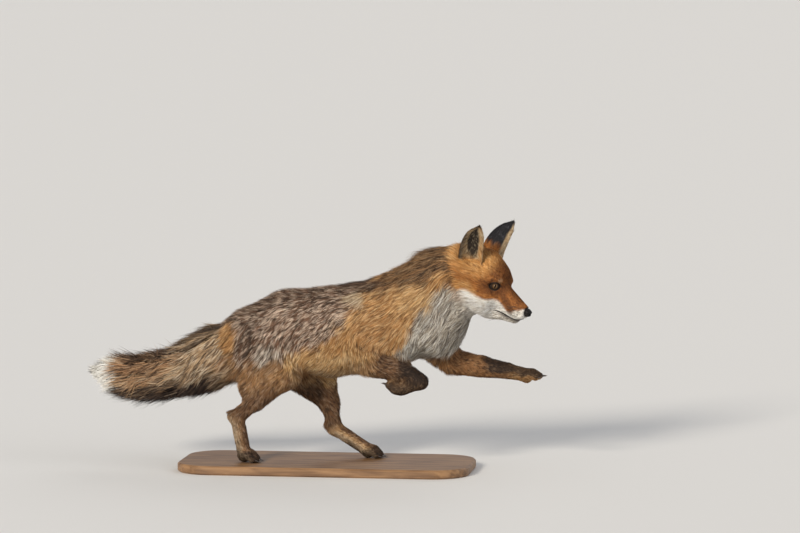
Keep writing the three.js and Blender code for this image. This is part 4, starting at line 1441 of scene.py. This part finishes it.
def colour_from_points(material):
    """Lets the shader read the colour kept on the points."""
    tree = material.node_tree
    attribute = add_node(tree, "ShaderNodeAttribute", attribute_name="coat_colour")
    tree.links.new(attribute.outputs["Color"], tree.nodes["Principled BSDF"].inputs["Base Color"])


# %% Fine relief, one node group for wool and leather


def fine_relief_group():
    """Relief in the object's own coordinates: soft lumps at Cells 0, round pebbles at Cells 1."""
    group = bpy.data.node_groups.new("fine_relief", "ShaderNodeTree")
    for name in ("Scale", "Cells"):
        group.interface.new_socket(name, in_out="INPUT", socket_type="NodeSocketFloat")
    group.interface.new_socket("Height", in_out="OUTPUT", socket_type="NodeSocketFloat")
    given = add_node(group, "NodeGroupInput")
    result = add_node(group, "NodeGroupOutput")
    where = add_node(group, "ShaderNodeTexCoord")
    lumps = add_node(group, "ShaderNodeTexNoise")
    pebbles = add_node(group, "ShaderNodeTexVoronoi")
    choice = add_node(group, "ShaderNodeMix")
    for texture, end in ((lumps, "A"), (pebbles, "B")):
        group.links.new(where.outputs["Object"], texture.inputs["Vector"])
        group.links.new(given.outputs["Scale"], texture.inputs["Scale"])
        group.links.new(texture.outputs[0], choice.inputs[end])
    group.links.new(given.outputs["Cells"], choice.inputs["Factor"])
    group.links.new(choice.outputs["Result"], result.inputs["Height"])
    return group


FINE_RELIEF = fine_relief_group()


def add_relief(material, scale, cells, strength, distance):
    """Places the relief group in a material, under a Bump node that feeds Normal."""
    tree = material.node_tree
    relief = add_node(tree, "ShaderNodeGroup", node_tree=FINE_RELIEF)
    relief.inputs["Scale"].default_value = scale
    relief.inputs["Cells"].default_value = cells
    bump = add_node(tree, "ShaderNodeBump")
    bump.inputs["Strength"].default_value = strength
    bump.inputs["Distance"].default_value = distance
    tree.links.new(relief.outputs["Height"], bump.inputs["Height"])
    tree.links.new(bump.outputs["Normal"], tree.nodes["Principled BSDF"].inputs["Normal"])


print("relief group sockets:", [item.name for item in FINE_RELIEF.interface.items_tree])

# %% Fur, eyes, nose and horn
fur = new_material("fur", Roughness=0.72, Specular_IOR_Level=0.22)
underfur = new_material("underfur", Roughness=0.9, Specular_IOR_Level=0.1)
wet_eye = new_material("wet_eye", Roughness=0.05, IOR=1.33, Specular_IOR_Level=0.30)
leather = new_material("nose_leather", Roughness=0.30, Specular_IOR_Level=0.12)
bristle = new_material("bristle", Roughness=0.4)
horn = new_material("horn", (0.050, 0.036, 0.028), Roughness=0.34)
for coloured in (fur, underfur, wet_eye, leather, bristle):
    colour_from_points(coloured)
add_relief(underfur, scale=700.0, cells=0.0, strength=0.6, distance=0.001)
add_relief(leather, scale=900.0, cells=1.0, strength=0.45, distance=0.0006)

skin_object.data.materials.append(underfur)
for obj in coats:
    obj.data.materials.append(fur)
for obj in eyeballs:
    obj.data.materials.append(wet_eye)
for obj in (nose, lip_roll):
    obj.data.materials.append(leather)
bristles.data.materials.append(bristle)
for name in nodes:
    if name.startswith("claw_"):
        nodes[name].data.materials.clear()
        nodes[name].data.materials.append(horn)
        nodes[name].modifiers.new("weld", "WELD").merge_threshold = 1e-6
print("materials:", [m.name for m in (fur, underfur, wet_eye, leather, bristle, horn)])

# %% The board
oak = new_material("oiled_oak", Roughness=0.5)
tree = oak.node_tree
where = add_node(tree, "ShaderNodeTexCoord")
stretch = add_node(tree, "ShaderNodeMapping")
stretch.inputs["Scale"].default_value = (1.6, 14.0, 14.0)
grain = add_node(tree, "ShaderNodeTexNoise")
grain.inputs["Scale"].default_value = 7.0
grain.inputs["Detail"].default_value = 8.0
grain.inputs["Distortion"].default_value = 0.6
tint = add_node(tree, "ShaderNodeValToRGB")
tint.color_ramp.elements[0].position = 0.36
tint.color_ramp.elements[0].color = (0.145, 0.072, 0.030, 1)
tint.color_ramp.elements[1].position = 0.64
tint.color_ramp.elements[1].color = (0.30, 0.165, 0.075, 1)
tree.links.new(where.outputs["Object"], stretch.inputs["Vector"])
tree.links.new(stretch.outputs["Vector"], grain.inputs["Vector"])
tree.links.new(grain.outputs[0], tint.inputs["Fac"])
tree.links.new(tint.outputs["Color"], tree.nodes["Principled BSDF"].inputs["Base Color"])
board = nodes["stand_board"]
board.data.materials.clear()
board.data.materials.append(oak)
print("board points:", len(board.data.vertices), "colours in the grain:", len(tint.color_ramp.elements))
